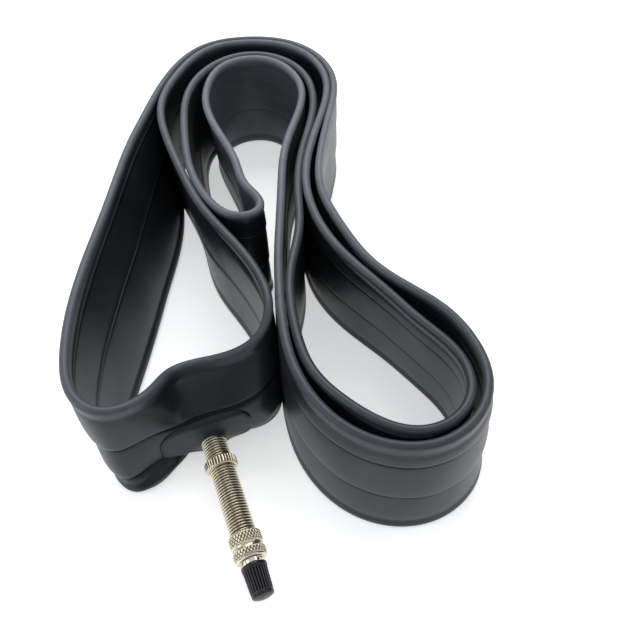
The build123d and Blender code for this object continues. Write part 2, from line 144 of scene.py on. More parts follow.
# ---------------------------------------------------------------- materials
def rubber(name, dark, light, rough_lo, rough_hi, dust, seed):
    m, nt, bsdf = new_mat(name)
    src = coords(nt)
    mp = nt.nodes.new("ShaderNodeMapping")
    mp.inputs["Location"].default_value = (seed, seed * 0.7, 0)
    nt.links.new(src, mp.inputs["Vector"])
    v = mp.outputs["Vector"]
    big = noise(nt, v, 22.0, 3.0)
    mid = noise(nt, v, 160.0, 4.0, 0.6)
    fine = noise(nt, v, 1500.0, 3.0, 0.6)
    grain = noise(nt, v, 5200.0, 2.0, 0.5)
    col = mix(nt, remap(nt, big, 0.35, 0.65, 0.0, 1.0), dark, light)
    # faint dusting powder left in patches, and a painted highlight along the moulded lines
    patch = math_node(nt, "MULTIPLY", remap(nt, mid, 0.52, 0.72, 0.0, 1.0), remap(nt, fine, 0.45, 0.7, 0.0, 1.0))
    line = attribute(nt, "line")
    dust_and_line_highlight = math_node(nt, "ADD", math_node(nt, "MULTIPLY", patch, dust),
                       math_node(nt, "MULTIPLY", math_node(nt, "MULTIPLY", remap(nt, line, 0.0, 1.0, 0.0, 1.0), remap(nt, fine, 0.4, 0.65, 0.2, 1.0)), 0.10))
    col = mix(nt, dust_and_line_highlight, col, (0.42, 0.43, 0.44))
    # paler bead tops from the edge attribute: partly dust, partly a painted sheen of the overhead light; the faces are
    # also paler on given stretches
    edge = math_node(nt, "MULTIPLY", attribute(nt, "edge"), remap(nt, mid, 0.3, 0.7, 0.75, 1.0))
    col = mix(nt, edge, col, (0.185, 0.200, 0.228))
    # painted shadow: a near-black line with almost no specular in the crease under each moulded line, where the panel
    # above overhangs it
    painted_crease_shadow = attribute(nt, "painted_crease_shadow")
    col = mix(nt, math_node(nt, "MULTIPLY", painted_crease_shadow, 0.95), col, (0.001, 0.001, 0.0012))
    # specks
    sp = nt.nodes.new("ShaderNodeTexVoronoi")
    sp.inputs["Scale"].default_value = 90.0
    nt.links.new(v, sp.inputs["Vector"])
    speck = remap(nt, sp.outputs["Distance"], 0.016, 0.03, 1.0, 0.0)
    pick = remap(nt, noise(nt, v, 47.0, 0.0), 0.60, 0.63, 0.0, 1.0)
    col = mix(nt, math_node(nt, "MULTIPLY", math_node(nt, "MULTIPLY", speck, pick), 0.5), col, (0.6, 0.6, 0.6))
    nt.links.new(col, bsdf.inputs["Base Color"])
    r = math_node(nt, "ADD", remap(nt, big, 0.3, 0.7, rough_lo, rough_hi), math_node(nt, "MULTIPLY", patch, 0.12))
    r = math_node(nt, "ADD", r, math_node(nt, "MULTIPLY", edge, 0.16))
    nt.links.new(r, bsdf.inputs["Roughness"])
    nt.links.new(remap(nt, painted_crease_shadow, 0.0, 1.0, 0.40, 0.02), bsdf.inputs["Specular IOR Level"])
    bsdf.inputs["Specular Tint"].default_value = (0.88, 0.96, 1.0, 1.0)
    bsdf.inputs["IOR"].default_value = 1.5
    h = math_node(nt, "ADD", math_node(nt, "MULTIPLY", grain, 0.35), math_node(nt, "ADD", math_node(nt, "MULTIPLY", fine, 0.5), math_node(nt, "MULTIPLY", mid, 1.2)))
    bump(nt, bsdf, h, 0.16, 0.0003)
    return m


def metal(name, crest, groove, rough, seed):
    m, nt, bsdf = new_mat(name)
    src = coords(nt)
    mp = nt.nodes.new("ShaderNodeMapping")
    mp.inputs["Location"].default_value = (seed, 0, seed)
    nt.links.new(src, mp.inputs["Vector"])
    v = mp.outputs["Vector"]
    a = noise(nt, v, 260.0, 4.0, 0.6)
    f = noise(nt, v, 2600.0, 3.0, 0.6)
    cav = attribute(nt, "cav")
    tint = mix(nt, remap(nt, a, 0.35, 0.7, 0.0, 0.5), crest, tuple(c * s for c, s in zip(crest, (0.9, 0.84, 0.7))))
    # painted shade: the base colour runs to the dark groove colour down in the knurl and thread grooves
    col = mix(nt, remap(nt, cav, 0.15, 0.95, 0.0, 1.0), tint, groove)
    nt.links.new(col, bsdf.inputs["Base Color"])
    bsdf.inputs["Metallic"].default_value = 1.0
    r = math_node(nt, "ADD", remap(nt, a, 0.3, 0.7, rough * 0.8, rough * 1.25), math_node(nt, "MULTIPLY", cav, 0.22))
    nt.links.new(r, bsdf.inputs["Roughness"])
    bump(nt, bsdf, math_node(nt, "ADD", f, math_node(nt, "MULTIPLY", a, 0.6)), 0.12, 0.0001)
    return m


def plastic(name, dark, light, rough, seed):
    m, nt, bsdf = new_mat(name)
    src = coords(nt)
    mp = nt.nodes.new("ShaderNodeMapping")
    mp.inputs["Location"].default_value = (seed, seed, 0)
    nt.links.new(src, mp.inputs["Vector"])
    v = mp.outputs["Vector"]
    a = noise(nt, v, 420.0, 4.0, 0.6)
    f = noise(nt, v, 5200.0, 2.0)
    cav = attribute(nt, "cav")
    col = mix(nt, remap(nt, a, 0.35, 0.7, 0.0, 1.0), dark, light)
    # painted shade: darker towards the bottom of the rib grooves, with less specular there
    col = mix(nt, math_node(nt, "MULTIPLY", cav, 0.7), col, tuple(c * 0.35 for c in dark))
    # painted highlight: a paler band on the rib flanks just off the crests
    rib_highlight = math_node(nt, "MULTIPLY", remap(nt, cav, 0.02, 0.22, 0.0, 1.0), remap(nt, cav, 0.75, 0.35, 0.0, 1.0))
    col = mix(nt, math_node(nt, "MULTIPLY", rib_highlight, 0.16), col, (0.55, 0.56, 0.62))
    nt.links.new(col, bsdf.inputs["Base Color"])
    nt.links.new(remap(nt, a, 0.3, 0.7, rough * 0.85, rough * 1.2), bsdf.inputs["Roughness"])
    nt.links.new(remap(nt, cav, 0.0, 0.8, 0.42, 0.05), bsdf.inputs["Specular IOR Level"])
    bump(nt, bsdf, math_node(nt, "ADD", f, math_node(nt, "MULTIPLY", a, 0.8)), 0.15, 0.0001)
    return m


M_TUBE = rubber("butyl_satin", (0.0075, 0.0090, 0.0125), (0.0125, 0.0140, 0.0172), 0.32, 0.42, 0.022, 0.0)
M_BASE = rubber("base_rubber_satin", (0.0080, 0.0092, 0.0120), (0.0140, 0.0148, 0.0172), 0.38, 0.50, 0.045, 3.1)
M_BRASS = metal("nickel_on_brass", (0.74, 0.685, 0.555), (0.060, 0.049, 0.032), 0.22, 1.7)
M_CORE = metal("core_nickel", (0.80, 0.78, 0.74), (0.12, 0.11, 0.09), 0.15, 5.3)
M_CAP = plastic("cap_black", (0.0025, 0.0028, 0.0052), (0.0050, 0.0055, 0.0095), 0.30, 2.2)
M_SEAL = rubber("seal_red_brown", (0.10, 0.018, 0.012), (0.15, 0.03, 0.02), 0.45, 0.6, 0.05, 8.0)
M_PLUNGER = plastic("plunger_ivory", (0.62, 0.60, 0.54), (0.70, 0.68, 0.62), 0.42, 9.0)


# ---------------------------------------------------------------- the flat band's path
# Rows go once round the tube from the valve, in hundredths of a millimetre:
# middle of the top bead x, y, z, then the foot of the band x, y.
ROUTE = [
    (-2866, -6296, 3325, -2586, -7000), (-3113, -6399, 3348, -2830, -7151), (-3313, -6552, 3412, -3043, -7355),
    (-3454, -6753, 3513, -3225, -7602), (-3542, -6994, 3640, -3382, -7874), (-3601, -7263, 3777, -3524, -8150),
    (-3664, -7546, 3911, -3668, -8412), (-3758, -7829, 4030, -3830, -8643), (-3899, -8100, 4131, -4019, -8826),
    (-4090, -8343, 4212, -4238, -8948), (-4325, -8539, 4277, -4476, -8993), (-4594, -8669, 4325, -4716, -8953),
    (-4882, -8720, 4358, -4937, -8830), (-5172, -8689, 4378, -5124, -8635), (-5446, -8581, 4390, -5269, -8389),
    (-5694, -8411, 4396, -5373, -8115), (-5907, -8191, 4399, -5439, -7828), (-6086, -7935, 4401, -5474, -7539),
    (-6232, -7653, 4403, -5485, -7252), (-6351, -7353, 4404, -5477, -6967), (-6446, -7042, 4406, -5456, -6686),
    (-6525, -6726, 4407, -5429, -6407), (-6591, -6407, 4409, -5399, -6127), (-6646, -6088, 4411, -5369, -5847),
    (-6693, -5771, 4413, -5341, -5565), (-6732, -5455, 4415, -5314, -5282), (-6764, -5140, 4417, -5289, -4997),
    (-6790, -4827, 4420, -5267, -4711), (-6810, -4516, 4422, -5246, -4422), (-6825, -4206, 4425, -5227, -4132),
    (-6834, -3898, 4428, -5210, -3841), (-6839, -3592, 4430, -5194, -3548), (-6840, -3287, 4433, -5181, -3254),
    (-6838, -2983, 4436, -5168, -2958), (-6832, -2681, 4439, -5158, -2660), (-6824, -2380, 4441, -5149, -2362),
    (-6814, -2081, 4444, -5141, -2062), (-6802, -1783, 4446, -5134, -1761), (-6790, -1486, 4448, -5129, -1458),
    (-6777, -1190, 4450, -5124, -1155), (-6764, -896, 4452, -5121, -850), (-6752, -602, 4453, -5118, -544),
    (-6740, -309, 4455, -5116, -238), (-6729, -16, 4456, -5113, 69), (-6719, 277, 4457, -5110, 375),
    (-6710, 572, 4457, -5104, 680), (-6701, 867, 4458, -5096, 984), (-6693, 1165, 4458, -5084, 1285),
    (-6685, 1466, 4458, -5067, 1583), (-6677, 1771, 4458, -5045, 1878), (-6668, 2078, 4458, -5019, 2168),
    (-6659, 2390, 4458, -4990, 2455), (-6648, 2704, 4459, -4962, 2740), (-6635, 3020, 4460, -4937, 3022),
    (-6619, 3336, 4462, -4920, 3304), (-6599, 3652, 4465, -4917, 3587), (-6574, 3966, 4469, -4932, 3872),
    (-6544, 4276, 4475, -4969, 4160), (-6508, 4582, 4483, -5030, 4453), (-6467, 4883, 4492, -5113, 4749),
    (-6423, 5180, 4501, -5214, 5049), (-6377, 5473, 4511, -5325, 5351), (-6329, 5764, 4520, -5439, 5656),
    (-6283, 6055, 4527, -5550, 5961), (-6238, 6345, 4533, -5651, 6268), (-6194, 6636, 4537, -5740, 6574),
    (-6150, 6928, 4539, -5814, 6880), (-6107, 7221, 4539, -5872, 7186), (-6062, 7514, 4539, -5911, 7491),
    (-6016, 7808, 4538, -5932, 7795), (-5966, 8103, 4537, -5932, 8096), (-5913, 8397, 4535, -5912, 8396),
    (-5855, 8690, 4533, -5872, 8692), (-5792, 8983, 4532, -5815, 8986), (-5723, 9274, 4530, -5743, 9277),
    (-5648, 9563, 4530, -5660, 9565), (-5566, 9851, 4529, -5570, 9851), (-5476, 10136, 4529, -5472, 10135),
    (-5378, 10418, 4529, -5369, 10417), (-5270, 10697, 4529, -5258, 10695), (-5150, 10970, 4529, -5138, 10969),
    (-5017, 11238, 4530, -5006, 11236), (-4867, 11496, 4530, -4859, 11494), (-4699, 11742, 4530, -4695, 11741),
    (-4512, 11972, 4531, -4512, 11972), (-4304, 12183, 4531, -4307, 12183), (-4076, 12370, 4531, -4082, 12370),
    (-3829, 12531, 4530, -3836, 12531), (-3567, 12664, 4530, -3573, 12665), (-3292, 12772, 4529, -3297, 12773),
    (-3009, 12856, 4529, -3011, 12857), (-2719, 12919, 4529, -2720, 12920), (-2425, 12963, 4529, -2424, 12963),
    (-2128, 12988, 4529, -2126, 12988), (-1831, 12995, 4530, -1828, 12995), (-1533, 12983, 4530, -1531, 12982),
    (-1237, 12950, 4531, -1235, 12950), (-945, 12896, 4532, -943, 12896), (-658, 12819, 4533, -657, 12819),
    (-379, 12718, 4533, -379, 12718), (-110, 12593, 4533, -111, 12593), (146, 12444, 4533, 145, 12444),
    (388, 12273, 4532, 386, 12273), (614, 12082, 4531, 613, 12081), (824, 11872, 4530, 823, 11872),
    (1018, 11646, 4529, 1017, 11647), (1195, 11407, 4528, 1194, 11408), (1354, 11156, 4527, 1354, 11157),
    (1497, 10895, 4526, 1498, 10896), (1622, 10625, 4525, 1623, 10626), (1730, 10347, 4525, 1732, 10348),
    (1821, 10063, 4525, 1822, 10064), (1894, 9774, 4526, 1895, 9775), (1949, 9481, 4527, 1950, 9482),
    (1987, 9185, 4529, 1988, 9186), (2010, 8888, 4531, 2011, 8888), (2018, 8589, 4534, 2019, 8588),
    (2014, 8290, 4537, 2014, 8289), (1998, 7991, 4540, 1998, 7990), (1974, 7693, 4544, 1973, 7691),
    (1941, 7395, 4548, 1940, 7393), (1902, 7098, 4551, 1901, 7096), (1860, 6801, 4555, 1859, 6800),
    (1814, 6505, 4558, 1814, 6503), (1768, 6208, 4561, 1768, 6208), (1722, 5911, 4563, 1723, 5912),
    (1677, 5614, 4565, 1678, 5616), (1633, 5317, 4567, 1636, 5320), (1591, 5020, 4569, 1594, 5023),
    (1551, 4723, 4570, 1555, 4726), (1512, 4425, 4571, 1516, 4429), (1476, 4128, 4572, 1480, 4131),
    (1442, 3831, 4572, 1445, 3833), (1411, 3533, 4572, 1412, 3534), (1385, 3236, 4572, 1383, 3235),
    (1363, 2938, 4572, 1360, 2935), (1349, 2640, 4571, 1343, 2635), (1343, 2341, 4571, 1337, 2336),
    (1348, 2043, 4570, 1342, 2037), (1366, 1744, 4570, 1361, 1739), (1398, 1446, 4570, 1398, 1445),
    (1445, 1149, 4569, 1452, 1154), (1508, 854, 4569, 1525, 867), (1586, 562, 4569, 1616, 587),
    (1676, 273, 4569, 1722, 311), (1776, -13, 4570, 1842, 41), (1884, -297, 4570, 1973, -224),
    (1997, -579, 4570, 2111, -485), (2114, -860, 4570, 2256, -743), (2234, -1140, 4570, 2407, -999),
    (2357, -1418, 4570, 2562, -1251), (2485, -1695, 4570, 2722, -1500), (2619, -1967, 4570, 2888, -1745),
    (2761, -2235, 4570, 3062, -1986), (2913, -2497, 4570, 3244, -2221), (3077, -2749, 4570, 3434, -2449),
    (3255, -2992, 4570, 3635, -2668), (3447, -3223, 4570, 3844, -2880), (3652, -3442, 4570, 4062, -3083),
    (3868, -3651, 4570, 4286, -3278), (4093, -3851, 4570, 4515, -3469), (4322, -4045, 4570, 4746, -3659),
    (4553, -4238, 4570, 4976, -3850), (4780, -4431, 4570, 5202, -4046), (5002, -4629, 4570, 5423, -4251),
    (5212, -4834, 4570, 5634, -4468), (5409, -5049, 4570, 5833, -4699), (5588, -5274, 4570, 6016, -4945),
    (5749, -5509, 4570, 6183, -5207), (5892, -5752, 4570, 6332, -5481), (6019, -6003, 4570, 6463, -5768),
    (6131, -6259, 4570, 6576, -6065), (6227, -6519, 4570, 6670, -6369), (6308, -6784, 4570, 6744, -6680),
    (6371, -7052, 4570, 6794, -6995), (6413, -7324, 4570, 6819, -7312), (6431, -7599, 4570, 6815, -7628),
    (6422, -7876, 4570, 6780, -7939), (6383, -8151, 4570, 6710, -8241), (6314, -8423, 4570, 6607, -8531),
    (6215, -8688, 4570, 6470, -8805), (6086, -8942, 4570, 6303, -9059), (5930, -9181, 4570, 6109, -9294),
    (5750, -9404, 4570, 5891, -9505), (5546, -9605, 4570, 5653, -9693), (5320, -9781, 4570, 5396, -9854),
    (5076, -9930, 4570, 5125, -9987), (4814, -10047, 4570, 4842, -10090), (4539, -10132, 4570, 4551, -10162),
    (4253, -10183, 4570, 4256, -10203), (3962, -10201, 4570, 3959, -10213), (3668, -10186, 4570, 3664, -10192),
    (3377, -10141, 4570, 3373, -10143), (3090, -10067, 4570, 3088, -10066), (2812, -9965, 4570, 2812, -9962),
    (2544, -9837, 4570, 2547, -9833), (2289, -9685, 4570, 2294, -9680), (2048, -9511, 4570, 2054, -9507),
    (1822, -9318, 4570, 1828, -9314), (1612, -9108, 4570, 1617, -9105), (1417, -8883, 4570, 1421, -8881),
    (1238, -8645, 4570, 1240, -8644), (1074, -8397, 4570, 1074, -8397), (925, -8138, 4570, 924, -8139),
    (791, -7872, 4570, 789, -7873), (672, -7598, 4570, 669, -7600), (566, -7318, 4570, 563, -7320),
    (475, -7034, 4570, 472, -7036), (395, -6746, 4570, 393, -6747), (327, -6455, 4570, 325, -6456),
    (268, -6161, 4570, 268, -6162), (218, -5866, 4570, 218, -5866), (174, -5570, 4570, 175, -5570),
    (135, -5273, 4570, 137, -5272), (100, -4976, 4570, 103, -4974), (70, -4678, 4570, 72, -4676),
    (42, -4379, 4570, 44, -4378), (16, -4080, 4570, 18, -4079), (-6, -3781, 4570, -4, -3780),
    (-25, -3482, 4570, -25, -3482), (-42, -3183, 4570, -42, -3182), (-56, -2883, 4570, -56, -2883),
    (-68, -2583, 4570, -68, -2584), (-77, -2284, 4570, -77, -2284), (-83, -1984, 4570, -84, -1985),
    (-88, -1684, 4570, -89, -1685), (-91, -1384, 4570, -92, -1385), (-92, -1085, 4570, -93, -1085),
    (-93, -785, 4570, -94, -785), (-94, -485, 4570, -94, -485), (-94, -186, 4570, -95, -186),
    (-96, 114, 4570, -96, 114), (-98, 414, 4570, -97, 414), (-101, 714, 4570, -100, 714),
    (-105, 1013, 4570, -104, 1014), (-109, 1313, 4570, -109, 1314), (-114, 1613, 4570, -113, 1613),
    (-117, 1913, 4570, -117, 1913), (-118, 2213, 4570, -118, 2213), (-116, 2512, 4570, -116, 2512),
    (-110, 2812, 4570, -110, 2812), (-99, 3111, 4570, -99, 3111), (-81, 3411, 4570, -81, 3410),
    (-56, 3709, 4570, -57, 3709), (-24, 4007, 4570, -24, 4006), (17, 4303, 4570, 17, 4303),
    (65, 4599, 4570, 65, 4599), (119, 4894, 4570, 119, 4894), (178, 5187, 4570, 178, 5187),
    (240, 5481, 4570, 240, 5481), (302, 5774, 4570, 302, 5774), (363, 6067, 4570, 363, 6068),
    (420, 6362, 4570, 420, 6362), (471, 6657, 4570, 471, 6657), (515, 6953, 4570, 515, 6953),
    (547, 7250, 4570, 548, 7250), (567, 7548, 4570, 567, 7548), (572, 7847, 4570, 572, 7846),
    (558, 8144, 4570, 558, 8144), (524, 8439, 4570, 524, 8439), (468, 8731, 4570, 468, 8731),
    (391, 9018, 4570, 390, 9018), (291, 9297, 4570, 291, 9298), (170, 9569, 4570, 170, 9569),
    (28, 9830, 4570, 28, 9831), (-133, 10079, 4570, -133, 10080), (-314, 10313, 4570, -314, 10313),
    (-516, 10527, 4570, -516, 10526), (-741, 10712, 4570, -741, 10711), (-988, 10862, 4570, -988, 10861),
    (-1254, 10968, 4570, -1254, 10967), (-1534, 11028, 4570, -1534, 11027), (-1822, 11039, 4570, -1821, 11040),
    (-2108, 11005, 4570, -2108, 11007), (-2386, 10927, 4570, -2386, 10929), (-2648, 10806, 4570, -2649, 10809),
    (-2888, 10647, 4570, -2889, 10649), (-3098, 10452, 4570, -3100, 10453), (-3276, 10225, 4570, -3277, 10224),
    (-3420, 9973, 4570, -3414, 9970), (-3531, 9701, 4570, -3513, 9697), (-3615, 9416, 4570, -3572, 9412),
    (-3677, 9122, 4570, -3594, 9122), (-3720, 8823, 4570, -3582, 8829), (-3747, 8521, 4570, -3537, 8536),
    (-3760, 8219, 4570, -3467, 8246), (-3758, 7917, 4570, -3376, 7959), (-3740, 7617, 4570, -3271, 7674),
    (-3706, 7319, 4570, -3160, 7391), (-3655, 7025, 4570, -3045, 7110), (-3590, 6733, 4570, -2930, 6830),
    (-3512, 6445, 4570, -2816, 6551), (-3423, 6158, 4570, -2704, 6273), (-3324, 5874, 4570, -2595, 5995),
    (-3218, 5591, 4570, -2490, 5716), (-3106, 5310, 4570, -2389, 5437), (-2989, 5029, 4570, -2294, 5157),
    (-2871, 4749, 4570, -2204, 4875), (-2752, 4468, 4570, -2121, 4591), (-2634, 4187, 4570, -2046, 4305),
    (-2519, 3906, 4570, -1977, 4016), (-2409, 3623, 4570, -1917, 3724), (-2307, 3339, 4570, -1864, 3430),
    (-2213, 3054, 4570, -1818, 3133), (-2128, 2767, 4570, -1777, 2834), (-2050, 2480, 4570, -1739, 2534),
    (-1973, 2195, 4570, -1696, 2235), (-1885, 1914, 4570, -1638, 1942), (-1775, 1644, 4570, -1556, 1659),
    (-1636, 1386, 4570, -1442, 1390), (-1472, 1141, 4570, -1302, 1135), (-1301, 903, 4570, -1149, 888),
    (-1150, 662, 4570, -1012, 640), (-1048, 414, 4570, -921, 387), (-1022, 166, 4570, -902, 138),
    (-1084, -65, 4570, -970, -89), (-1229, -251, 4570, -1120, -269), (-1440, -372, 4570, -1332, -381),
    (-1689, -414, 4570, -1577, -411), (-1948, -376, 4570, -1827, -359), (-2197, -266, 4570, -2058, -231),
    (-2422, -98, 4570, -2258, -43), (-2622, 112, 4570, -2428, 188), (-2800, 347, 4570, -2573, 444),
    (-2963, 599, 4570, -2699, 713), (-3114, 859, 4570, -2813, 988), (-3256, 1127, 4570, -2916, 1266),
    (-3389, 1401, 4570, -3011, 1545), (-3512, 1680, 4570, -3096, 1827), (-3626, 1965, 4570, -3174, 2109),
    (-3731, 2254, 4570, -3243, 2393), (-3826, 2547, 4570, -3307, 2677), (-3913, 2844, 4570, -3365, 2963),
    (-3992, 3142, 4570, -3419, 3248), (-4064, 3443, 4570, -3470, 3534), (-4130, 3744, 4570, -3520, 3821),
    (-4191, 4046, 4570, -3569, 4108), (-4247, 4349, 4570, -3621, 4396), (-4300, 4650, 4570, -3674, 4684),
    (-4349, 4951, 4570, -3731, 4973), (-4396, 5251, 4570, -3792, 5263), (-4440, 5550, 4570, -3856, 5554),
    (-4480, 5848, 4570, -3922, 5846), (-4516, 6145, 4570, -3989, 6140), (-4546, 6442, 4570, -4055, 6434),
    (-4570, 6739, 4570, -4117, 6731), (-4584, 7036, 4570, -4174, 7028), (-4589, 7333, 4570, -4223, 7327),
    (-4582, 7631, 4570, -4261, 7627), (-4562, 7928, 4570, -4286, 7926), (-4528, 8225, 4570, -4295, 8226),
    (-4479, 8521, 4570, -4287, 8524), (-4412, 8814, 4570, -4258, 8819), (-4329, 9103, 4570, -4209, 9110),
    (-4227, 9388, 4570, -4137, 9394), (-4107, 9665, 4570, -4041, 9671), (-3968, 9933, 4570, -3923, 9938),
    (-3810, 10189, 4570, -3781, 10193), (-3633, 10432, 4570, -3616, 10434), (-3435, 10656, 4570, -3427, 10656),
    (-3218, 10858, 4570, -3216, 10857), (-2981, 11035, 4570, -2983, 11032), (-2726, 11181, 4570, -2730, 11178),
    (-2456, 11292, 4570, -2461, 11289), (-2175, 11367, 4570, -2178, 11364), (-1886, 11402, 4570, -1889, 11401),
    (-1596, 11398, 4570, -1597, 11397), (-1308, 11354, 4570, -1308, 11355), (-1029, 11272, 4570, -1028, 11273),
    (-761, 11155, 4570, -759, 11156), (-508, 11005, 4570, -507, 11007), (-273, 10828, 4570, -271, 10829),
    (-56, 10628, 4570, -55, 10629), (142, 10407, 4570, 142, 10408), (319, 10170, 4570, 319, 10170),
    (476, 9918, 4570, 476, 9918), (613, 9655, 4570, 613, 9654), (730, 9381, 4570, 730, 9381),
    (828, 9100, 4570, 827, 9099), (908, 8813, 4570, 907, 8812), (971, 8521, 4570, 970, 8521),
    (1018, 8226, 4570, 1018, 8226), (1051, 7929, 4570, 1051, 7929), (1071, 7631, 4570, 1071, 7631),
    (1080, 7332, 4570, 1080, 7332), (1078, 7032, 4570, 1079, 7033), (1067, 6733, 4570, 1068, 6734),
    (1048, 6435, 4570, 1048, 6436), (1021, 6138, 4570, 1021, 6138), (987, 5842, 4570, 987, 5842),
    (948, 5547, 4570, 947, 5548), (904, 5253, 4570, 903, 5254), (857, 4960, 4570, 856, 4961),
    (808, 4667, 4570, 807, 4667), (760, 4374, 4570, 759, 4374), (715, 4079, 4570, 713, 4079),
    (672, 3782, 4570, 670, 3782), (633, 3484, 4570, 631, 3483), (600, 3184, 4570, 597, 3183),
    (572, 2883, 4570, 569, 2881), (550, 2581, 4570, 547, 2579), (535, 2278, 4570, 532, 2276),
    (526, 1976, 4570, 523, 1974), (523, 1674, 4570, 521, 1673), (527, 1373, 4570, 526, 1372),
    (537, 1072, 4570, 536, 1072), (552, 772, 4570, 552, 772), (571, 473, 4570, 571, 473), (591, 174, 4570, 591, 174),
    (610, -125, 4570, 610, -126), (623, -424, 4570, 623, -425), (628, -723, 4570, 628, -724),
    (623, -1023, 4570, 623, -1023), (606, -1321, 4570, 606, -1321), (577, -1619, 4570, 577, -1619),
    (540, -1916, 4570, 540, -1916), (498, -2213, 4570, 498, -2213), (456, -2510, 4570, 456, -2509),
    (417, -2807, 4570, 417, -2806), (386, -3104, 4570, 386, -3104), (366, -3403, 4570, 366, -3402),
    (357, -3701, 4570, 357, -3701), (360, -4000, 4570, 360, -4001), (374, -4299, 4570, 374, -4300),
    (399, -4597, 4570, 399, -4599), (433, -4894, 4570, 433, -4896), (474, -5191, 4570, 474, -5193),
    (523, -5486, 4570, 523, -5488), (578, -5781, 4570, 578, -5782), (640, -6075, 4570, 640, -6075),
    (709, -6367, 4570, 709, -6365), (787, -6656, 4570, 788, -6653), (880, -6940, 4570, 880, -6936),
    (988, -7217, 4570, 989, -7213), (1117, -7484, 4570, 1117, -7481), (1268, -7737, 4570, 1268, -7738),
    (1440, -7977, 4570, 1440, -7980), (1631, -8203, 4570, 1631, -8210), (1838, -8417, 4570, 1837, -8426),
    (2056, -8621, 4570, 2055, -8630), (2282, -8817, 4570, 2282, -8824), (2517, -9003, 4570, 2517, -9007),
    (2761, -9177, 4570, 2761, -9176), (3014, -9336, 4570, 3014, -9330), (3277, -9473, 4570, 3278, -9462),
    (3551, -9581, 4570, 3551, -9568), (3833, -9653, 4570, 3833, -9641), (4121, -9682, 4570, 4121, -9674),
    (4407, -9664, 4570, 4408, -9663), (4687, -9598, 4570, 4691, -9606), (4951, -9487, 4570, 4962, -9505),
    (5193, -9336, 4570, 5218, -9362), (5406, -9151, 4570, 5454, -9180), (5586, -8938, 4570, 5666, -8964),
    (5727, -8704, 4570, 5851, -8718), (5827, -8454, 4570, 6006, -8445), (5885, -8193, 4570, 6128, -8152),
    (5903, -7927, 4570, 6215, -7843), (5883, -7661, 4570, 6266, -7525), (5828, -7399, 4570, 6277, -7204),
    (5741, -7144, 4570, 6248, -6884), (5627, -6900, 4570, 6179, -6572), (5488, -6667, 4570, 6071, -6270),
    (5331, -6445, 4570, 5930, -5981), (5159, -6231, 4570, 5764, -5705), (4979, -6020, 4570, 5579, -5443),
    (4794, -5809, 4570, 5385, -5191), (4609, -5592, 4570, 5187, -4947), (4425, -5366, 4570, 4990, -4710),
    (4244, -5132, 4570, 4795, -4478), (4064, -4890, 4570, 4602, -4250), (3883, -4645, 4570, 4408, -4027),
    (3701, -4400, 4570, 4210, -3809), (3516, -4157, 4570, 4009, -3594), (3329, -3916, 4570, 3802, -3383),
    (3140, -3677, 4570, 3592, -3174), (2951, -3439, 4570, 3380, -2967), (2764, -3200, 4570, 3167, -2758),
    (2580, -2959, 4570, 2956, -2549), (2401, -2715, 4570, 2748, -2336), (2227, -2466, 4570, 2545, -2119),
    (2062, -2211, 4570, 2349, -1897), (1905, -1950, 4570, 2162, -1669), (1758, -1682, 4570, 1984, -1435),
    (1621, -1407, 4570, 1817, -1195), (1494, -1127, 4570, 1661, -948), (1378, -842, 4570, 1517, -694),
    (1273, -553, 4570, 1385, -435), (1178, -260, 4570, 1267, -169), (1094, 35, 4570, 1162, 103),
    (1022, 333, 4570, 1070, 379), (960, 631, 4570, 994, 661), (910, 930, 4570, 932, 947),
    (871, 1229, 4570, 884, 1237), (844, 1528, 4570, 850, 1529), (828, 1826, 4570, 831, 1822),
    (824, 2122, 4570, 823, 2117), (830, 2418, 4570, 828, 2412), (844, 2714, 4570, 843, 2708),
    (868, 3009, 4570, 866, 3005), (898, 3305, 4570, 897, 3302), (935, 3600, 4570, 935, 3599),
    (978, 3896, 4570, 978, 3896), (1025, 4193, 4570, 1026, 4194), (1077, 4490, 4570, 1078, 4491),
    (1132, 4787, 4570, 1133, 4789), (1189, 5083, 4570, 1191, 5086), (1249, 5379, 4570, 1250, 5382),
    (1309, 5675, 4570, 1311, 5678), (1370, 5970, 4570, 1371, 5973), (1429, 6264, 4570, 1429, 6267),
    (1485, 6559, 4570, 1485, 6562), (1537, 6855, 4570, 1537, 6857), (1584, 7151, 4570, 1583, 7153),
    (1623, 7448, 4570, 1623, 7449), (1655, 7746, 4570, 1654, 7747), (1677, 8045, 4570, 1676, 8045),
    (1687, 8344, 4570, 1686, 8343), (1684, 8643, 4570, 1683, 8641), (1666, 8941, 4570, 1666, 8939),
    (1633, 9237, 4570, 1632, 9235), (1583, 9531, 4570, 1582, 9529), (1516, 9822, 4570, 1515, 9820),
    (1431, 10107, 4570, 1431, 10106), (1330, 10387, 4570, 1329, 10386), (1210, 10660, 4570, 1210, 10659),
    (1073, 10924, 4570, 1073, 10923), (918, 11177, 4570, 918, 11177), (744, 11418, 4570, 744, 11418),
    (551, 11642, 4570, 551, 11643), (339, 11848, 4570, 339, 11850), (108, 12033, 4570, 109, 12034),
    (-139, 12193, 4570, -139, 12195), (-402, 12327, 4570, -401, 12328), (-677, 12434, 4570, -677, 12435),
    (-962, 12514, 4570, -962, 12515), (-1254, 12569, 4570, -1253, 12570), (-1549, 12602, 4570, -1549, 12602),
    (-1846, 12613, 4570, -1846, 12613), (-2144, 12606, 4570, -2144, 12605), (-2441, 12580, 4570, -2441, 12579),
    (-2735, 12534, 4570, -2735, 12534), (-3023, 12467, 4570, -3024, 12466), (-3303, 12373, 4570, -3303, 12373),
    (-3569, 12250, 4570, -3569, 12250), (-3817, 12095, 4570, -3817, 12095), (-4044, 11910, 4570, -4044, 11910),
    (-4248, 11699, 4570, -4247, 11699), (-4430, 11466, 4570, -4429, 11466), (-4592, 11217, 4570, -4590, 11217),
    (-4735, 10956, 4570, -4734, 10956), (-4863, 10687, 4570, -4862, 10686), (-4977, 10411, 4570, -4978, 10410),
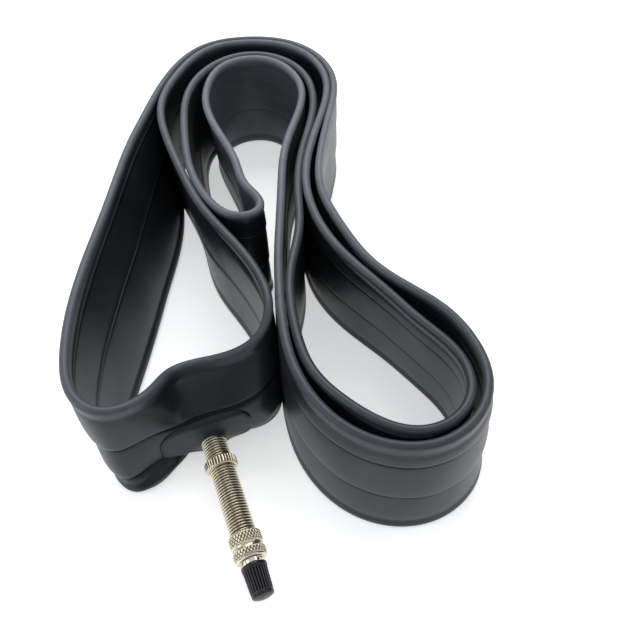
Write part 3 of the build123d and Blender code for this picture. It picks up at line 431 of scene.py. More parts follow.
    (-5080, 10130, 4570, -5082, 10130), (-5175, 9847, 4570, -5178, 9846), (-5261, 9560, 4570, -5266, 9560),
    (-5342, 9271, 4570, -5347, 9271), (-5415, 8981, 4570, -5419, 8981), (-5480, 8688, 4570, -5481, 8689),
    (-5537, 8394, 4570, -5528, 8395), (-5581, 8098, 4570, -5560, 8099), (-5613, 7800, 4570, -5571, 7801),
    (-5630, 7503, 4570, -5561, 7503), (-5631, 7206, 4570, -5526, 7205), (-5616, 6911, 4570, -5468, 6909),
    (-5586, 6619, 4570, -5387, 6615), (-5541, 6330, 4570, -5289, 6325), (-5485, 6043, 4569, -5175, 6038),
    (-5418, 5759, 4569, -5052, 5755), (-5342, 5476, 4569, -4923, 5475), (-5258, 5194, 4569, -4790, 5198),
    (-5168, 4913, 4570, -4655, 4923), (-5072, 4633, 4570, -4521, 4650), (-4972, 4353, 4570, -4388, 4378),
    (-4867, 4074, 4571, -4258, 4106), (-4758, 3794, 4571, -4132, 3834), (-4646, 3515, 4571, -4010, 3561),
    (-4532, 3235, 4571, -3895, 3287), (-4416, 2955, 4571, -3787, 3010), (-4299, 2675, 4571, -3687, 2732),
    (-4181, 2395, 4571, -3594, 2451), (-4063, 2115, 4570, -3508, 2168), (-3942, 1835, 4570, -3427, 1883),
    (-3819, 1556, 4569, -3349, 1597), (-3692, 1278, 4569, -3271, 1312), (-3560, 1002, 4568, -3190, 1028),
    (-3421, 728, 4568, -3104, 746), (-3276, 457, 4568, -3010, 467), (-3124, 190, 4568, -2906, 194),
    (-2964, -73, 4569, -2790, -74), (-2797, -332, 4570, -2661, -335), (-2624, -586, 4571, -2521, -591),
    (-2446, -837, 4572, -2371, -842), (-2265, -1084, 4573, -2214, -1089), (-2083, -1329, 4574, -2051, -1334),
    (-1901, -1573, 4574, -1886, -1579), (-1722, -1817, 4574, -1721, -1826), (-1547, -2062, 4572, -1558, -2076),
    (-1379, -2309, 4570, -1401, -2332), (-1218, -2557, 4568, -1249, -2595), (-1067, -2807, 4565, -1104, -2865),
    (-927, -3057, 4563, -966, -3145), (-799, -3305, 4563, -834, -3436), (-683, -3550, 4566, -706, -3738),
    (-581, -3791, 4571, -583, -4051), (-493, -4029, 4578, -467, -4376), (-421, -4265, 4581, -364, -4709),
    (-365, -4504, 4573, -283, -5047), (-329, -4751, 4547, -237, -5382), (-320, -5007, 4493, -236, -5706),
    (-349, -5266, 4409, -287, -6008), (-431, -5516, 4295, -391, -6276), (-578, -5740, 4158, -545, -6497),
    (-792, -5922, 4010, -738, -6661), (-1060, -6052, 3859, -962, -6766), (-1362, -6133, 3717, -1209, -6820),
    (-1677, -6174, 3588, -1474, -6839), (-1990, -6192, 3480, -1752, -6844), (-2294, -6206, 3396, -2036, -6859),
    (-2588, -6235, 3343, -2318, -6905),
]

V0 = np.array((-23.360, -76.145, 12.27))
VD = np.array((0.35919, -0.92934, -0.08548)); VD /= np.linalg.norm(VD)
UPZ = np.array((0.0, 0.0, 1.0))
VX = UPZ - VD * VD[2]; VX /= np.linalg.norm(VX)
VY = np.cross(VD, VX)
TV = np.array((VD[1], -VD[0], 0.0)); TV /= np.linalg.norm(TV)

PAD_REACH, EASE, RIB = 16.5, 16.0, 7.4
BEAD = 1.62       # radius of the rounded edges
HALF = 1.17       # half thickness of the flat faces


def periodic_double(a):
    p0, p1, p2, p3 = np.roll(a, 1, 0), a, np.roll(a, -1, 0), np.roll(a, -2, 0)
    half = (-p0 + 9 * p1 + 9 * p2 - p3) / 16
    out = np.empty((2 * len(a), a.shape[1]))
    out[0::2], out[1::2] = a, half
    return out


def even(a, k):
    """Evened out along the closed path over k rows each way."""
    ker = np.hanning(2 * k + 3)[1:-1]; ker /= ker.sum(); h = len(ker) // 2
    return np.array([np.convolve(np.r_[c[-h:], c, c[:h]], ker, "valid") for c in a.T]).T


# given moves along the path, mm: top x, y, then foot x, y
MOVE = {0: (0, 0, .8, 2.4), 5: (-.5, -1.2, 0, -.2), 11: (-.7, -2.1, -.5, -2.2), 26: (-.7, -1.8, -.8, -2.2), 34: (-.4, -.6, -.3, -.5), 42: (0, 0, 0, 0),
        48: (0, 0, 1.0, 0), 56: (0, 0, 2.3, 0), 66: (0, 0, 2.1, 0), 76: (0, 0, 0, 0), 155: (0, 0, 0, 0), 168: (0, 0, .2, -1.2),
        200: (0, 0, 0, -1.3), 215: (0, 0, 0, 0), 294: (0, 0, 0, 0), 303: (1.5, -.3, 1.5, -.3), 315: (1.5, -.3, 1.5, -.3), 326: (0, 0, 0, 0),
        604: (0, 0, 0, 0), 613: (0, 0, .8, 2.8)}


def table(keys, n, fine=50):
    """Values at n stations from {share of 620: (a, b)}, eased between and periodic."""
    ks = sorted(keys)
    x = np.arange(n) * 620.0 / n
    cols = []
    for c in range(len(keys[ks[0]])):
        v = np.interp(x, ks + [620], [keys[k][c] for k in ks] + [keys[ks[0]][c]])
        ker = np.hanning(2 * (n // fine) + 1); ker /= ker.sum(); h = len(ker) // 2
        cols.append(np.convolve(np.r_[v[-h:], v, v[:h]], ker, "valid"))
    return np.array(cols).T


def build_tube():
    rows = np.array(ROUTE, float) / 100.0
    rows = periodic_double(rows)
    n = len(rows)
    f = n / 620.0
    top = rows[:, :3].copy(); top[:, 2] += 1.5
    lean_xy = rows[:, 3:5] - rows[:, :2]
    near, wide = even(lean_xy, int(3 * f)), even(lean_xy, int(14 * f))
    at620 = np.arange(n) / f
    calm_w = np.clip(np.minimum((at620 - 590) / 14, 1), 0, 1) + np.clip(np.minimum((84 - at620) / 16, 1), 0, 1)
    lean_xy = near + (wide - near) * calm_w[:, None]
    move = table(MOVE, n, 110)
    top[:, :2] += move[:, :2]
    bot = np.c_[top[:, :2] - move[:, :2] + lean_xy + move[:, 2:], np.zeros(n)]
    mid = (top[:, :2] + bot[:, :2]) / 2
    t = np.roll(mid, -1, 0) - np.roll(mid, 1, 0)
    for _ in range(2):
        t = 0.25 * np.roll(t, 1, 0) + 0.5 * t + 0.25 * np.roll(t, -1, 0)
    t /= np.linalg.norm(t, axis=1)[:, None]
    side = np.c_[-t[:, 1], t[:, 0], np.zeros(n)]
    lean = top - bot; lean /= np.linalg.norm(lean, axis=1)[:, None]
    ac = np.abs((lean * side).sum(1))
    bot[:, 2] = 0.03 + 0.0 * ac
    lo = bot + (top - bot) * 0.25
    hi = bot + (top - bot) * 0.62
    along = (np.c_[mid, np.zeros(n)] - V0 * (1, 1, 0)) @ TV
    idx = np.arange(n); wrap = np.minimum(idx, n - idx) / f
    a = np.abs(along)
    share = np.clip(1 - (a - PAD_REACH) / EASE, 0, 1)
    share = share * share * (3 - 2 * share)
    gate = np.clip((25 - wrap) / 14, 0, 1); gate = gate * gate * (3 - 2 * gate)
    share = (share * gate)[:, None]
    lift = np.clip((-along - 1.0) / 6.0, 0, 1); lift = lift * lift * (3 - 2 * lift)
    flat_lo = V0 + TV * along[:, None] - VX * (RIB - 2.8 * lift)[:, None]
    flat_hi = V0 + TV * along[:, None] + VX * RIB
    lo = lo + (flat_lo - lo) * share
    hi = hi + (flat_hi - hi) * share
    bot[:, 2] += 0.25 * share[:, 0]
    pts = np.stack([bot, lo, hi, top], 1)                      # n,4,3
    seg = np.linalg.norm(np.diff(pts, axis=1), axis=2)         # n,3
    cum = np.c_[np.zeros(n), np.cumsum(seg, 1)]
    total = cum[:, 3]

    def raw(s):
        """Point at length s up the section; runs on straight past both ends."""
        out = np.empty(s.shape + (3,))
        for k in range(3):
            a0, l0 = cum[:, k][:, None], seg[:, k][:, None]
            q = (s - a0) / l0
            p = pts[:, k][:, None] + (pts[:, k + 1] - pts[:, k])[:, None] * q[..., None]
            m = (s >= a0) if k else np.ones(s.shape, bool)
            out[m] = p[m]
        return out

    def soft(s, w=3.0):
        return sum(g * raw(s + o * w) for o, g in ((-1, .08), (-.66, .16), (-.33, .17), (0, .18), (.33, .17), (.66, .16), (1, .08)))

    # moulded lines: depth under the top edge, outer face then inner face
    out_l = table({0: (18.2, 35.4), 14: (20.5, 36.5), 30: (21, 37), 90: (19, 35), 130: (14, 30), 160: (10.3, 27.5),
                   210: (10, 27.3), 300: (11, 28), 420: (11, 28), 470: (10, 27), 560: (15, 32), 600: (17.5, 34.5)}, n)
    in_l = table({0: (6.4, 23.5), 16: (5.3, 22.0), 60: (5.2, 21.5), 100: (6.6, 24), 160: (10, 27), 300: (10.5, 27.5),
                  420: (10, 27), 470: (9.5, 26), 540: (9, 25), 600: (7.2, 24)}, n)
    u = np.arange(n) / n * 2 * math.pi
    wander = 0.5 * np.sin(7 * u + 1.1) + 0.35 * np.sin(17 * u + 0.4)
    line_off = (-2.9, -2.2, -1.7, -1.2, -0.7, -0.35, -0.10, 0.10, 0.45, 1.1, 2.4)
    # how far the outer panels swell: most on the free lobes, least where strands lie together
    fat = table({0: (.5,), 8: (1.2,), 16: (1.5,), 34: (1.4,), 60: (.4,), 90: (.3,), 150: (.45,), 175: (.8,), 205: (.8,), 230: (.25,), 590: (.3,)}, n)[:, 0]
    # strength of the painted crease shadow along the tube, outer face then inner face
    line_shadow_out = table({0: (.62,), 9: (.9,), 20: (1.0,), 226: (1.0,), 246: (0,), 306: (0,), 330: (.4,), 400: (.8,), 430: (1.0,)}, n)[:, 0]
    line_shadow_in = table({0: (1.0,), 80: (.8,), 110: (.3,), 300: (.3,), 540: (.4,), 600: (.9,)}, n)[:, 0]

    def half_t(d):
        """Half thickness at distance d in from an edge."""
        k = np.clip((d - BEAD) / 2.9, 0, 1); k = k * k * (3 - 2 * k)
        pinch = -0.26 * np.exp(-((d - 4.7) / 0.9) ** 2)
        return BEAD * (1 - k) + HALF * k + pinch

    def face(lines, outer):
        """Lengths up the section, offsets, and the painted line highlight and crease shadow of one face, foot to top.
        """
        s1 = total - lines[:, 0] + wander * (0.6 if outer else 0.6)
        s2 = total - lines[:, 1] + wander * 0.5
        cols, marks = [], []
        edge = np.array((1.5, 2.3, 3.1, 3.9, 4.6, 5.3, 6.2))
        for e in edge:
            cols.append(np.full(n, e)); marks.append(0)
        first = s2 + line_off[0]
        for q in (0.25, 0.5, 0.75):
            cols.append(6.2 + (first - 6.2) * q); marks.append(0)
        for o in line_off:
            cols.append(s2 + o); marks.append(2 if abs(o) < 0.5 else 0)
        a0, a1 = s2 + line_off[-1], s1 + line_off[0]
        for q in (0.15, 0.35, 0.55, 0.75, 0.9):
            cols.append(a0 + (a1 - a0) * q); marks.append(0)
        for o in line_off:
            cols.append(s1 + o); marks.append(1 if abs(o) < 0.5 else 0)
        b0, b1 = s1 + line_off[-1], total - 6.2
        # the upper line can come close under the bead: keep the columns in order
        for q in (0.25, 0.5, 0.75):
            cols.append(b0 + (b1 - b0) * q); marks.append(0)
        for e in edge[::-1]:
            cols.append(total - e); marks.append(0)
        S = np.array(cols).T
        for k in range(1, S.shape[1]):
            S[:, k] = np.maximum(S[:, k], S[:, k - 1] + 0.02)
        S = np.minimum(S, (total - 1.5)[:, None])
        d = np.minimum(S, total[:, None] - S)
        H = half_t(d)
        line_highlight, painted_crease_shadow = np.zeros(S.shape), np.zeros(S.shape)
        if outer:
            # the panels between the lines stand a little proud
            z0 = np.zeros(n)
            for a_, b_, amp in ((z0 + 1.0, s2, 0.95), (s2, s1, 1.55), (s1, total - 2.6, 1.25)):
                q = np.clip((S - a_[:, None]) / np.maximum(b_ - a_, 1.0)[:, None], 0, 1)
                H = H + amp * fat[:, None] * 1.50 * q ** 0.24 * (1 - q) ** 0.90
        for sl, amp in ((s1, 1.0), (s2, 1.0)):
            x = S - sl[:, None]
            if outer:
                step = np.where(x > 0, 0.34 * np.exp(-x / 1.4), -0.50 * np.exp(x / 1.0)) * (0.55 + 0.45 * fat[:, None])
            else:
                step = 0.26 * np.exp(-(x / 0.40) ** 2) - 0.14 * np.exp(-((x + 0.8) / 0.5) ** 2)
            H = H + amp * step
            # painted shadow in the crease under each line; a painted highlight just above the line on the outer face
            # and on the ridge on the inner face
            if outer:
                painted_crease_shadow = np.maximum(painted_crease_shadow, np.clip(1.5 * np.exp(-((x + 0.85) / 0.80) ** 2), 0, 1) * line_shadow_out[:, None])
                line_highlight = line_highlight + 0.30 * np.exp(-((x - 0.50) / 0.40) ** 2) + 1.6 * (1 - line_shadow_out[:, None]) * np.exp(-((x + 0.9) / 0.5) ** 2)
            else:
                line_highlight = line_highlight + 0.6 * np.exp(-(x / 0.35) ** 2)
                painted_crease_shadow = np.maximum(painted_crease_shadow, np.exp(-((x + 0.80) / 0.45) ** 2) * line_shadow_in[:, None])
        return S, H, np.stack([line_highlight, painted_crease_shadow])

    So, Ho, Mo = face(out_l, True)
    Si, Hi, Mi = face(in_l, False)
    ang = np.radians((72, 54, 36, 18, 0))[::-1]
    cap_ang = np.radians(np.arange(1, 8) * 22.5)
    # closed loop: outer face up, over the top bead, inner face down, round the foot
    S, O, L = [So], [Ho], [Mo]
    s_top = np.stack([total - BEAD + BEAD * math.sin(q) for q in cap_ang], 1)
    o_top = np.stack([np.full(n, BEAD * math.cos(q)) for q in cap_ang], 1)
    S.append(s_top); O.append(o_top); L.append(np.zeros((2,) + s_top.shape))
    S.append(Si[:, ::-1]); O.append(-Hi[:, ::-1]); L.append(Mi[:, :, ::-1])
    s_bot = np.stack([np.full(n, BEAD - BEAD * math.sin(q)) for q in cap_ang], 1)
    o_bot = np.stack([np.full(n, -BEAD * math.cos(q)) for q in cap_ang], 1)
    S.append(s_bot); O.append(o_bot); L.append(np.zeros((2,) + s_bot.shape))
    S, O, L = np.concatenate(S, 1), np.concatenate(O, 1), np.concatenate(L, 2)
    P = soft(S)
    D = soft(S + 0.4) - soft(S - 0.4)
    D /= np.linalg.norm(D, axis=2)[..., None]
    up = D[..., 2]; acr = (D * side[:, None]).sum(2)
    N = side[:, None] * up[..., None] - UPZ * acr[..., None]
    N /= np.linalg.norm(N, axis=2)[..., None]
    # soft unevenness of the flat faces
    g = S / total[:, None]
    lump = np.sin(math.pi * np.clip(g, 0, 1)) * (
        0.16 * np.sin(23 * u[:, None] + 3.0 * g) + 0.11 * np.sin(61 * u[:, None] - 5.0 * g + 1.0) + 0.06 * np.sin(131 * u[:, None] + 9 * g))
    calm = 1 - np.where(wrap < 14, 1.0, 0.0)[:, None] * np.exp(-((g - 0.45) / 0.25) ** 2)
    P = P + N * (O + 0.0 + lump * calm * 0.6)[..., None]
    P[..., 2] = np.where(P[..., 2] < 0.02, 0.02, P[..., 2])
    m = P.shape[1]
    verts = (P.reshape(-1, 3) * MM)
    ii, jj = np.meshgrid(np.arange(n), np.arange(m), indexing="ij")
    i2, j2 = (ii + 1) % n, (jj + 1) % m
    faces = np.stack([ii * m + jj, ii * m + j2, i2 * m + j2, i2 * m + jj], 2).reshape(-1, 4)
    mesh = bpy.data.meshes.new("tube_band")
    mesh.from_pydata(verts.tolist(), [], faces.tolist())
    # painted highlight along the moulded lines
    at = mesh.attributes.new("line", "FLOAT", "POINT")
    at.data.foreach_set("value", L[0].reshape(-1).astype(np.float32))
    # painted shadow in the creases under the moulded lines
    ct = mesh.attributes.new("painted_crease_shadow", "FLOAT", "POINT")
    ct.data.foreach_set("value", L[1].reshape(-1).astype(np.float32))
    # edge attribute: paler bead tops, partly dust and partly a painted sheen of the overhead light whose strength per
    # stretch is set in the last table below; the faces are also paler on given stretches
    rim = np.exp(-(np.clip(total[:, None] - S - 0.9, 0, None) / 1.5) ** 2)
    pale_out = table({0: (0,), 244: (0,), 258: (.30,), 296: (.30,), 306: (0,)}, n)[:, :1]
    inner = np.arange(S.shape[1])[None] >= So.shape[1] + s_top.shape[1]
    pale = table({0: (0,), 80: (.05,), 110: (.05,), 225: (.10,), 255: (1.0,), 300: (.8,), 330: (.15,), 470: (0,), 540: (.15,), 600: (0,)}, n)[:, :1]
    rim_sheen_strength = table({0: (.25,), 20: (.45,), 60: (.65,), 85: (.4,), 100: (.5,), 130: (.95,), 150: (.5,), 170: (.28,), 200: (.14,), 240: (.9,), 290: (.9,), 350: (.6,), 430: (.16,), 470: (.18,), 500: (.8,), 560: (.75,), 600: (.22,)}, n)[:, :1]
    paler_tone = np.clip(rim * rim_sheen_strength + np.where(~inner, pale_out, 0) + np.where(inner, pale * np.clip((S - 3) / 8, 0, 1) * 0.60, 0), 0, 1)
    ea = mesh.attributes.new("edge", "FLOAT", "POINT")
    ea.data.foreach_set("value", paler_tone.reshape(-1).astype(np.float32))
    mesh.polygons.foreach_set("use_smooth", np.ones(len(mesh.polygons), bool))
    mesh.materials.append(M_TUBE)
    mesh.update()
    obj = bpy.data.objects.new("tube_band", mesh)
    bpy.context.scene.collection.objects.link(obj)
    return obj


def flip_if_inside_out(obj):
    """Turns every face round if the closed mesh has a negative volume."""
    me = obj.data
    co = np.empty(len(me.vertices) * 3); me.vertices.foreach_get("co", co); co = co.reshape(-1, 3)
    me.calc_loop_triangles()
    tri = np.empty(len(me.loop_triangles) * 3, np.int32); me.loop_triangles.foreach_get("vertices", tri); tri = tri.reshape(-1, 3)
    vol = np.einsum("ij,ij->i", co[tri[:, 0]], np.cross(co[tri[:, 1]], co[tri[:, 2]])).sum() / 6
    if vol < 0:
        me.flip_normals()
    return vol


tube = build_tube()
flip_if_inside_out(tube)
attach(tube, "tube")
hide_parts("tube_body")


# ---------------------------------------------------------------- valve pieces, in the valve's own frame
def valve_mesh(name, R, Z, cav, mat, closed=True, pole_start=False, pole_end=False):
    """Grid of rows x steps turned about the valve axis; R, Z and cav are arrays rows x steps, in mm."""
    rows, steps = R.shape
    th = np.arange(steps) * 2 * math.pi / steps
    X, Y = R * np.cos(th), R * np.sin(th)
    loc = np.stack([X, Y, Z], 2).reshape(-1, 3)
    extra, faces = [], []
    last = rows if closed else rows - 1
    for i in range(last):
        i2 = (i + 1) % rows
        for j in range(steps):
            j2 = (j + 1) % steps
            faces.append((i * steps + j, i * steps + j2, i2 * steps + j2, i2 * steps + j))
    cv = list(cav.reshape(-1))
    if pole_start:
        k = len(loc) + len(extra); extra.append((0, 0, Z[0, 0])); cv.append(0)
        faces += [(k, (j + 1) % steps, j) for j in range(steps)]
    if pole_end:
        k = len(loc) + len(extra); extra.append((0, 0, pole_end)); cv.append(0)
        b = (rows - 1) * steps
        faces += [(k, b + j, b + (j + 1) % steps) for j in range(steps)]
    if extra:
        loc = np.vstack([loc, extra])
    w = V0 + loc[:, :1] * VX + loc[:, 1:2] * VY + loc[:, 2:3] * VD
    mesh = bpy.data.meshes.new(name)
    mesh.from_pydata((w * MM).tolist(), [], faces)
    at = mesh.attributes.new("cav", "FLOAT", "POINT")
    at.data.foreach_set("value", np.array(cv, np.float32))
    mesh.polygons.foreach_set("use_smooth", np.ones(len(mesh.polygons), bool))
    mesh.materials.append(mat)
    mesh.update()
    obj = bpy.data.objects.new(name, mesh)
    bpy.context.scene.collection.objects.link(obj)
    flip_if_inside_out(obj)
    return obj


def plain(profile, steps):
    """Rows of a round profile, from (radius, height) points, with the small bends between them kept tight."""
    rr, zz = [], []
    for (r0, z0), (r1, z1) in zip(profile, profile[1:] + profile[:1]):
        length = math.hypot(r1 - r0, z1 - z0)
        e = min(0.06, length * 0.2)
        for q in ((e / length) if length else 0, 1 - (e / length) if length else 1):
            rr.append(r0 + (r1 - r0) * q); zz.append(z0 + (z1 - z0) * q)
    R = np.repeat(np.array(rr)[:, None], steps, 1)
    Z = np.repeat(np.array(zz)[:, None], steps, 1)
    return R, Z


def thread_rows(z0, z1, pitch, major, depth, steps, per=8, fade=0.5):
    """Right-handed helical thread between two heights."""
    k = int(round((z1 - z0) / pitch * per))
    z = np.linspace(z0, z1, k + 1)[:, None]
    th = (np.arange(steps) * 2 * math.pi / steps)[None]
    ph = (z / pitch - th / (2 * math.pi)) % 1.0
    tri = np.abs(ph - 0.5) * 2              # 1 at the root, 0 at the crest
    shape = np.clip((tri - 0.12) / 0.80, 0, 1)
    shape = shape * shape * (3 - 2 * shape) * 0.5 + shape * 0.5
    ends = np.clip(np.minimum(z - z0, z1 - z) / fade, 0, 1)
    cav = shape * ends
    R = major - depth * cav - 0.12 * (1 - ends)
    Z = np.repeat(z, steps, 1)
    return R, Z, cav


STEPS = 96

# stem: threaded the whole way, with its foot bonded in the patch and a coned mouth
Rt, Zt, Ct = thread_rows(2.4, 43.5, 0.95, 4.20, 0.50, STEPS, per=10)
Rp, Zp = plain([(3.5, 43.9), (2.98, 43.9), (2.45, 40.7), (2.45, 7.0), (1.5, 6.0), (1.5, 1.4), (3.7, 1.4), (3.7, 2.3)], STEPS)
Rp, Zp = Rp[:-1], Zp[:-1]
stem = valve_mesh("valve_stem_threaded", np.vstack([Rt, Rp]), np.vstack([Zt, Zp]), np.vstack([Ct, np.zeros_like(Rp)]), M_BRASS)
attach(stem, "tube"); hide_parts("valve_stem")


def ring_rows(stations, steps, rfun):
    """Rows at the given (radius, height, knurl weight) with the knurl cut in by rfun(theta, z)."""
    th = (np.arange(steps) * 2 * math.pi / steps)
    R, Z, C = [], [], []
    for r, z, k in stations:
        d = rfun(th, z)
        R.append(r - k * d); Z.append(np.full(steps, z)); C.append(np.clip(k * d / 0.38, 0, 1))
    return np.array(R), np.array(Z), np.array(C)


def straight_knurl(count, depth):
    def fun(th, z):
        return depth * np.clip(1 - np.abs(np.cos(th * count / 2)) * 1.35 + 0.12, 0, 1) ** 0.8
    return fun


def diamond_knurl(count, depth, lead):
    def fun(th, z):
        a = np.abs(np.sin((th * count + z * lead) / 2))
        b = np.abs(np.sin((th * count - z * lead) / 2))
        return depth * (1 - np.clip(np.minimum(a, b) * 1.6, 0, 1))
    return fun


# rim nut: straight knurl, rounded shoulders, countersunk bore
KS = 32 * 12
prof = [(3.97, 11.0, 0), (4.05, 10.72, 0), (4.30, 10.54, 0), (4.42, 10.50, 0), (4.80, 10.50, 0), (5.02, 10.55, .1), (5.24, 10.68, .45), (5.36, 10.86, .85), (5.40, 11.05, 1)]
prof += [(5.40, z, 1) for z in np.linspace(11.35, 12.85, 6)]
prof += [(5.40, 13.15, 1), (5.36, 13.34, .85), (5.24, 13.52, .45), (5.02, 13.65, .1), (4.80, 13.70, 0), (4.42, 13.70, 0), (4.30, 13.66, 0), (4.05, 13.48, 0), (3.97, 13.2, 0)]
prof = [(max(r, 4.24), z, k) for r, z, k in prof]
R, Z, C = ring_rows(prof, KS, straight_knurl(32, 0.42))
Z = Z + 1.3
rim_nut = valve_mesh("rim_nut_knurled", R, Z, C, M_BRASS)
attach(rim_nut, "rim_nut"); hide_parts("rim_nut")

# union nut: two bands of diamond knurl either side of a smooth groove, rounded lip
DS = 28 * 14
prof = [(3.97, 37.2, 0), (4.05, 36.95, 0), (4.30, 36.82, 0), (4.62, 36.80, 0), (4.86, 36.86, 0), (5.04, 37.0, .1), (5.13, 37.18, .5), (5.15, 37.4, 1)]
prof += [(5.15, z, 1) for z in np.linspace(37.6, 40.0, 15)]
prof += [(5.15, 40.15, .9), (5.10, 40.3, .4), (4.98, 40.42, .05), (4.86, 40.6, 0), (4.79, 40.9, 0), (4.77, 41.25, 0), (4.80, 41.6, 0), (4.88, 41.85, 0), (5.0, 42.0, .05), (5.11, 42.14, .4), (5.15, 42.3, .9)]
prof += [(5.15, z, 1) for z in np.linspace(42.45, 44.1, 11)]
prof += [(5.13, 44.22, .7), (5.02, 44.34, .15), (4.90, 44.42, 0), (4.90, 44.55, 0), (4.92, 44.7, 0), (4.86, 44.92, 0), (4.70, 45.08, 0), (4.45, 45.17, 0), (4.1, 45.2, 0), (3.6, 45.2, 0), (3.25, 45.14, 0), (3.05, 45.0, 0), (2.97, 44.8, 0), (2.97, 43.55, 0), (3.9, 43.5, 0), (3.97, 43.4, 0)]
prof = [(max(r, 4.24) if z < 43.45 else r, z, k) for r, z, k in prof]
R, Z, C = ring_rows(prof, DS, diamond_knurl(28, 0.46, 3.9))
# painted shade: the smooth concave ring, the narrow recess under the lip and the inside of the bore are marked as
# hollow, so they take the dark groove colour
C = np.maximum(C, np.clip((4.93 - R) / 0.2, 0, 1) * ((Z > 40.3) & (Z < 42.1)) * 0.55)
C = np.maximum(C, 0.8 * ((Z > 44.34) & (Z < 44.6)))
C = np.maximum(C, 1.0 * (R < 3.2) * (Z < 45.05))
Z = Z + 1.3
union_nut = valve_mesh("union_nut_knurled", R, Z, C, M_BRASS)
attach(union_nut, "union_nut"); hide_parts("union_nut")

# valve core: tail, flange, smooth collar and threaded nipple
Ra, Za = plain([(1.3, 26.0), (2.1, 26.0), (2.1, 43.9), (3.4, 43.9), (3.4, 44.72), (2.85, 44.77), (2.85, 47.4), (2.6, 47.7)], STEPS)
Ra, Za = Ra[:-1], Za[:-1]
Rt, Zt, Ct = thread_rows(47.85, 55.6, 1.058, 2.6, 0.36, STEPS, per=10, fade=0.6)
Rb, Zb = plain([(2.2, 56.0), (0.8, 56.0), (0.8, 36.6), (1.3, 35.8)], STEPS)
Rb, Zb = Rb[:-1], Zb[:-1]
core = valve_mesh("core_body_threaded", np.vstack([Ra, Rt, Rb]), np.vstack([Za, Zt, Zb]),
                  np.vstack([np.zeros_like(Ra), Ct, np.zeros_like(Rb)]), M_CORE)
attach(core, "core"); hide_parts("core_body")

# dust cap: flange, 24 ribs, plain end band, domed end
CS = 24 * 14


def ribs(th, z):
    return 0.40 * (1 - np.clip(np.abs(np.cos(th * 12)) * 2.3 - 1.25, 0, 1))


prof = [(2.0, 56.5, 0), (2.6, 56.5, 0), (2.65, 56.4, 0), (2.65, 48.1, 0), (2.72, 47.95, 0), (2.95, 47.9, 0), (3.8, 47.9, 0), (3.97, 47.95, 0), (4.05, 48.1, 0),
        (4.05, 48.5, 0), (4.05, 48.9, 0), (4.02, 49.06, 0), (3.93, 49.14, 0), (3.86, 49.2, .3), (3.84, 49.32, .85), (3.835, 49.45, 1)]
prof += [(3.83 - (z - 49.5) * 0.0485, z, 1) for z in np.linspace(49.8, 55.9, 14)]
prof += [(3.515, 56.1, .95), (3.505, 56.25, .6), (3.495, 56.38, .1), (3.49, 56.5, 0), (3.47, 56.9, 0), (3.44, 57.15, 0), (3.36, 57.36, 0), (3.22, 57.5, 0), (3.0, 57.6, 0), (2.7, 57.74, 0),
         (2.2, 57.92, 0), (1.5, 58.08, 0), (0.8, 58.17, 0)]
R, Z, C = ring_rows(prof, CS, ribs)
cap = valve_mesh("dust_cap_ribbed", R, Z, C, M_CAP, closed=False, pole_start=True, pole_end=58.2)
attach(cap, "dust_cap"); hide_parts("dust_cap")


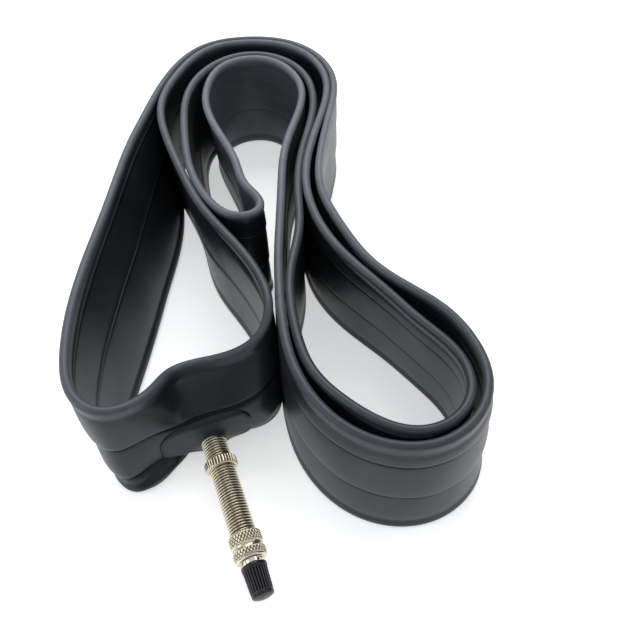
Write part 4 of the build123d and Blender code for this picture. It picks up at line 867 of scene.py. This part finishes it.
# rubber patch: rounded pad laid on the band, with a collar drawn up round the stem
def build_patch():
    co = np.empty(len(tube.data.vertices) * 3); tube.data.vertices.foreach_get("co", co)
    band = BVHTree.FromPolygons(co.reshape(-1, 3).tolist(), [tuple(q.vertices) for q in tube.data.polygons])
    steps = 144
    th = np.arange(steps) * 2 * math.pi / steps
    x_lo, x_hi, y_lo, y_hi, rc = -7.6, 9.0, -14.2, 17.4, 5.4

    def inset(x, y):
        """Distance in from the pad's edge, negative outside."""
        cx, cy = (x_lo + x_hi) / 2, (y_lo + y_hi) / 2
        skew = 0.10 * (y - cy)
        qx = np.abs(x - cx + np.where(x > cx, skew * (y > cy), 0)) - ((x_hi - x_lo) / 2 - rc)
        qy = np.abs(y - cy) - ((y_hi - y_lo) / 2 - rc)
        return rc - np.hypot(np.maximum(qx, 0), np.maximum(qy, 0)) - np.minimum(np.maximum(qx, qy), 0)

    edge = []
    for q in th:
        lo_r, hi_r = 3.9, 24.0
        for _ in range(40):
            r = (lo_r + hi_r) / 2
            if inset(r * math.cos(q), r * math.sin(q)) < 0:
                hi_r = r
            else:
                lo_r = r
        edge.append(lo_r)
    edge = np.array(edge)
    rows_r = [np.minimum(r, edge * 0.94) for r in (4.06, 4.16, 4.35, 4.7, 5.1, 5.6, 6.1, 6.6)]
    for q in (0.12, 0.24, 0.36, 0.48, 0.6, 0.7, 0.79, 0.86, 0.91, 0.95, 0.98, 1.0):
        rows_r.append(6.6 + (edge - 6.6) * q)
    Rr = np.array(rows_r)
    X, Y = Rr * np.cos(th), Rr * np.sin(th)

    def ground(x, y):
        o = V0 + x * VX + y * VY + 14.0 * VD
        hit = band.ray_cast(Vector(o * MM), Vector(-VD), 0.03)
        return 14.0 - hit[3] / MM if hit[0] is not None else None

    G = np.empty(X.shape)
    for j in range(steps):
        last = 1.2
        for i in range(X.shape[0]):
            g = ground(X[i, j], Y[i, j])
            last = last if g is None else min(max(g, last - 1.5), last + 1.5)
            G[i, j] = last
    for _ in range(6):
        G = (np.roll(G, 1, 1) + 2 * G + np.roll(G, -1, 1)) / 4
    e = np.clip(inset(X, Y) / 1.1, 0, 1)
    T = 0.02 + 0.62 * np.sqrt(np.clip(1 - (1 - e) ** 2, 0, 1))
    T += 0.22 * np.exp(-((inset(X, Y) - 1.5) / 0.7) ** 2)
    low = np.clip(-np.cos(th), 0, 1)[None]
    col = 2.2 * np.exp(-(np.clip(Rr - 3.95, 0, None) / (1.5 + 1.6 * low)) ** 1.25)
    Zr = G + T + col
    Ru = np.array([edge * 0.985, np.full(steps, 4.06)])
    Zu = np.array([G[-1] - 0.5, G[0] - 0.5])
    R, Z = np.vstack([Rr, Ru]), np.vstack([Zr, Zu])
    return valve_mesh("valve_patch", R, Z, np.zeros_like(R), M_BASE)


patch = build_patch()
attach(patch, "tube"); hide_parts("valve_base")

# inner pieces keep their CAD shapes and take finished materials
for node, mat in (("core_seal", M_SEAL), ("core_cage", M_CORE), ("check_plunger", M_PLUNGER), ("plunger_seal", M_SEAL)):
    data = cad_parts[node].data
    if len(data.materials) == 0:
        data.materials.append(mat)
    else:
        for k in range(len(data.materials)):
            data.materials[k] = mat

# ---------------------------------------------------------------- floor
m, nt, bsdf = new_mat("studio_floor")
src = coords(nt)
fl = noise(nt, src, 3.0, 2.0)
nt.links.new(ramp(nt, fl, [(0.3, (0.905, 0.91, 0.915)), (0.7, (0.925, 0.93, 0.93))]), bsdf.inputs["Base Color"])
bsdf.inputs["Roughness"].default_value = 0.55
bsdf.inputs["Specular IOR Level"].default_value = 0.2
bsdf.inputs["Emission Color"].default_value = (0.98, 0.99, 1.0, 1.0)
bsdf.inputs["Emission Strength"].default_value = 0.52
floor_mesh = bpy.data.meshes.new("floor")
floor_mesh.from_pydata([(-6, -6, -0.0002), (6, -6, -0.0002), (6, 6, -0.0002), (-6, 6, -0.0002)], [], [(0, 1, 2, 3)])
floor_mesh.materials.append(m)
floor = bpy.data.objects.new("floor", floor_mesh)
bpy.context.scene.collection.objects.link(floor)


# ---------------------------------------------------------------- light
def area(name, loc, target, size, power, color=(1, 1, 1), size_y=None):
    d = bpy.data.lights.new(name, "AREA")
    d.energy = power
    d.color = color
    d.shape = "RECTANGLE"
    d.size = size
    d.size_y = size_y or size
    o = bpy.data.objects.new(name, d)
    o.location = loc
    o.rotation_euler = (Vector(target) - Vector(loc)).to_track_quat("-Z", "Y").to_euler()
    bpy.context.scene.collection.objects.link(o)
    return o


area("softbox_back", (-0.10, 1.20, 1.42), (0.0, 0.0, 0.0), 1.60, 20.0, (1.0, 1.0, 1.0), 1.15)
area("fill_left", (-1.20, -0.45, 0.75), (0.0, 0.0, 0.02), 0.8, 4.6, (0.985, 0.99, 1.0))
area("fill_right", (1.10, 0.10, 0.85), (0.0, 0.0, 0.02), 0.5, 1.5, (1.0, 0.99, 0.97))

world = bpy.data.worlds.new("Studio")
bpy.context.scene.world = world
world.use_nodes = True
wn = world.node_tree
wn.nodes.clear()
wo = wn.nodes.new("ShaderNodeOutputWorld")
bg = wn.nodes.new("ShaderNodeBackground")
tc = wn.nodes.new("ShaderNodeTexCoord")
sep = wn.nodes.new("ShaderNodeSeparateXYZ")
wn.links.new(tc.outputs["Generated"], sep.inputs["Vector"])
rmp = wn.nodes.new("ShaderNodeValToRGB")
els = rmp.color_ramp.elements
els[0].position, els[0].color = 0.0, (0.24, 0.25, 0.265, 1)
els[1].position, els[1].color = 1.0, (1.0, 1.0, 1.0, 1)
mid_el = els.new(0.42)
mid_el.color = (0.46, 0.47, 0.485, 1)
up_el = els.new(0.66)
up_el.color = (0.97, 0.985, 1.0, 1)
wn.links.new(sep.outputs["Z"], rmp.inputs["Fac"])
wn.links.new(rmp.outputs["Color"], bg.inputs["Color"])
bg.inputs["Strength"].default_value = 0.68
wn.links.new(bg.outputs["Background"], wo.inputs["Surface"])
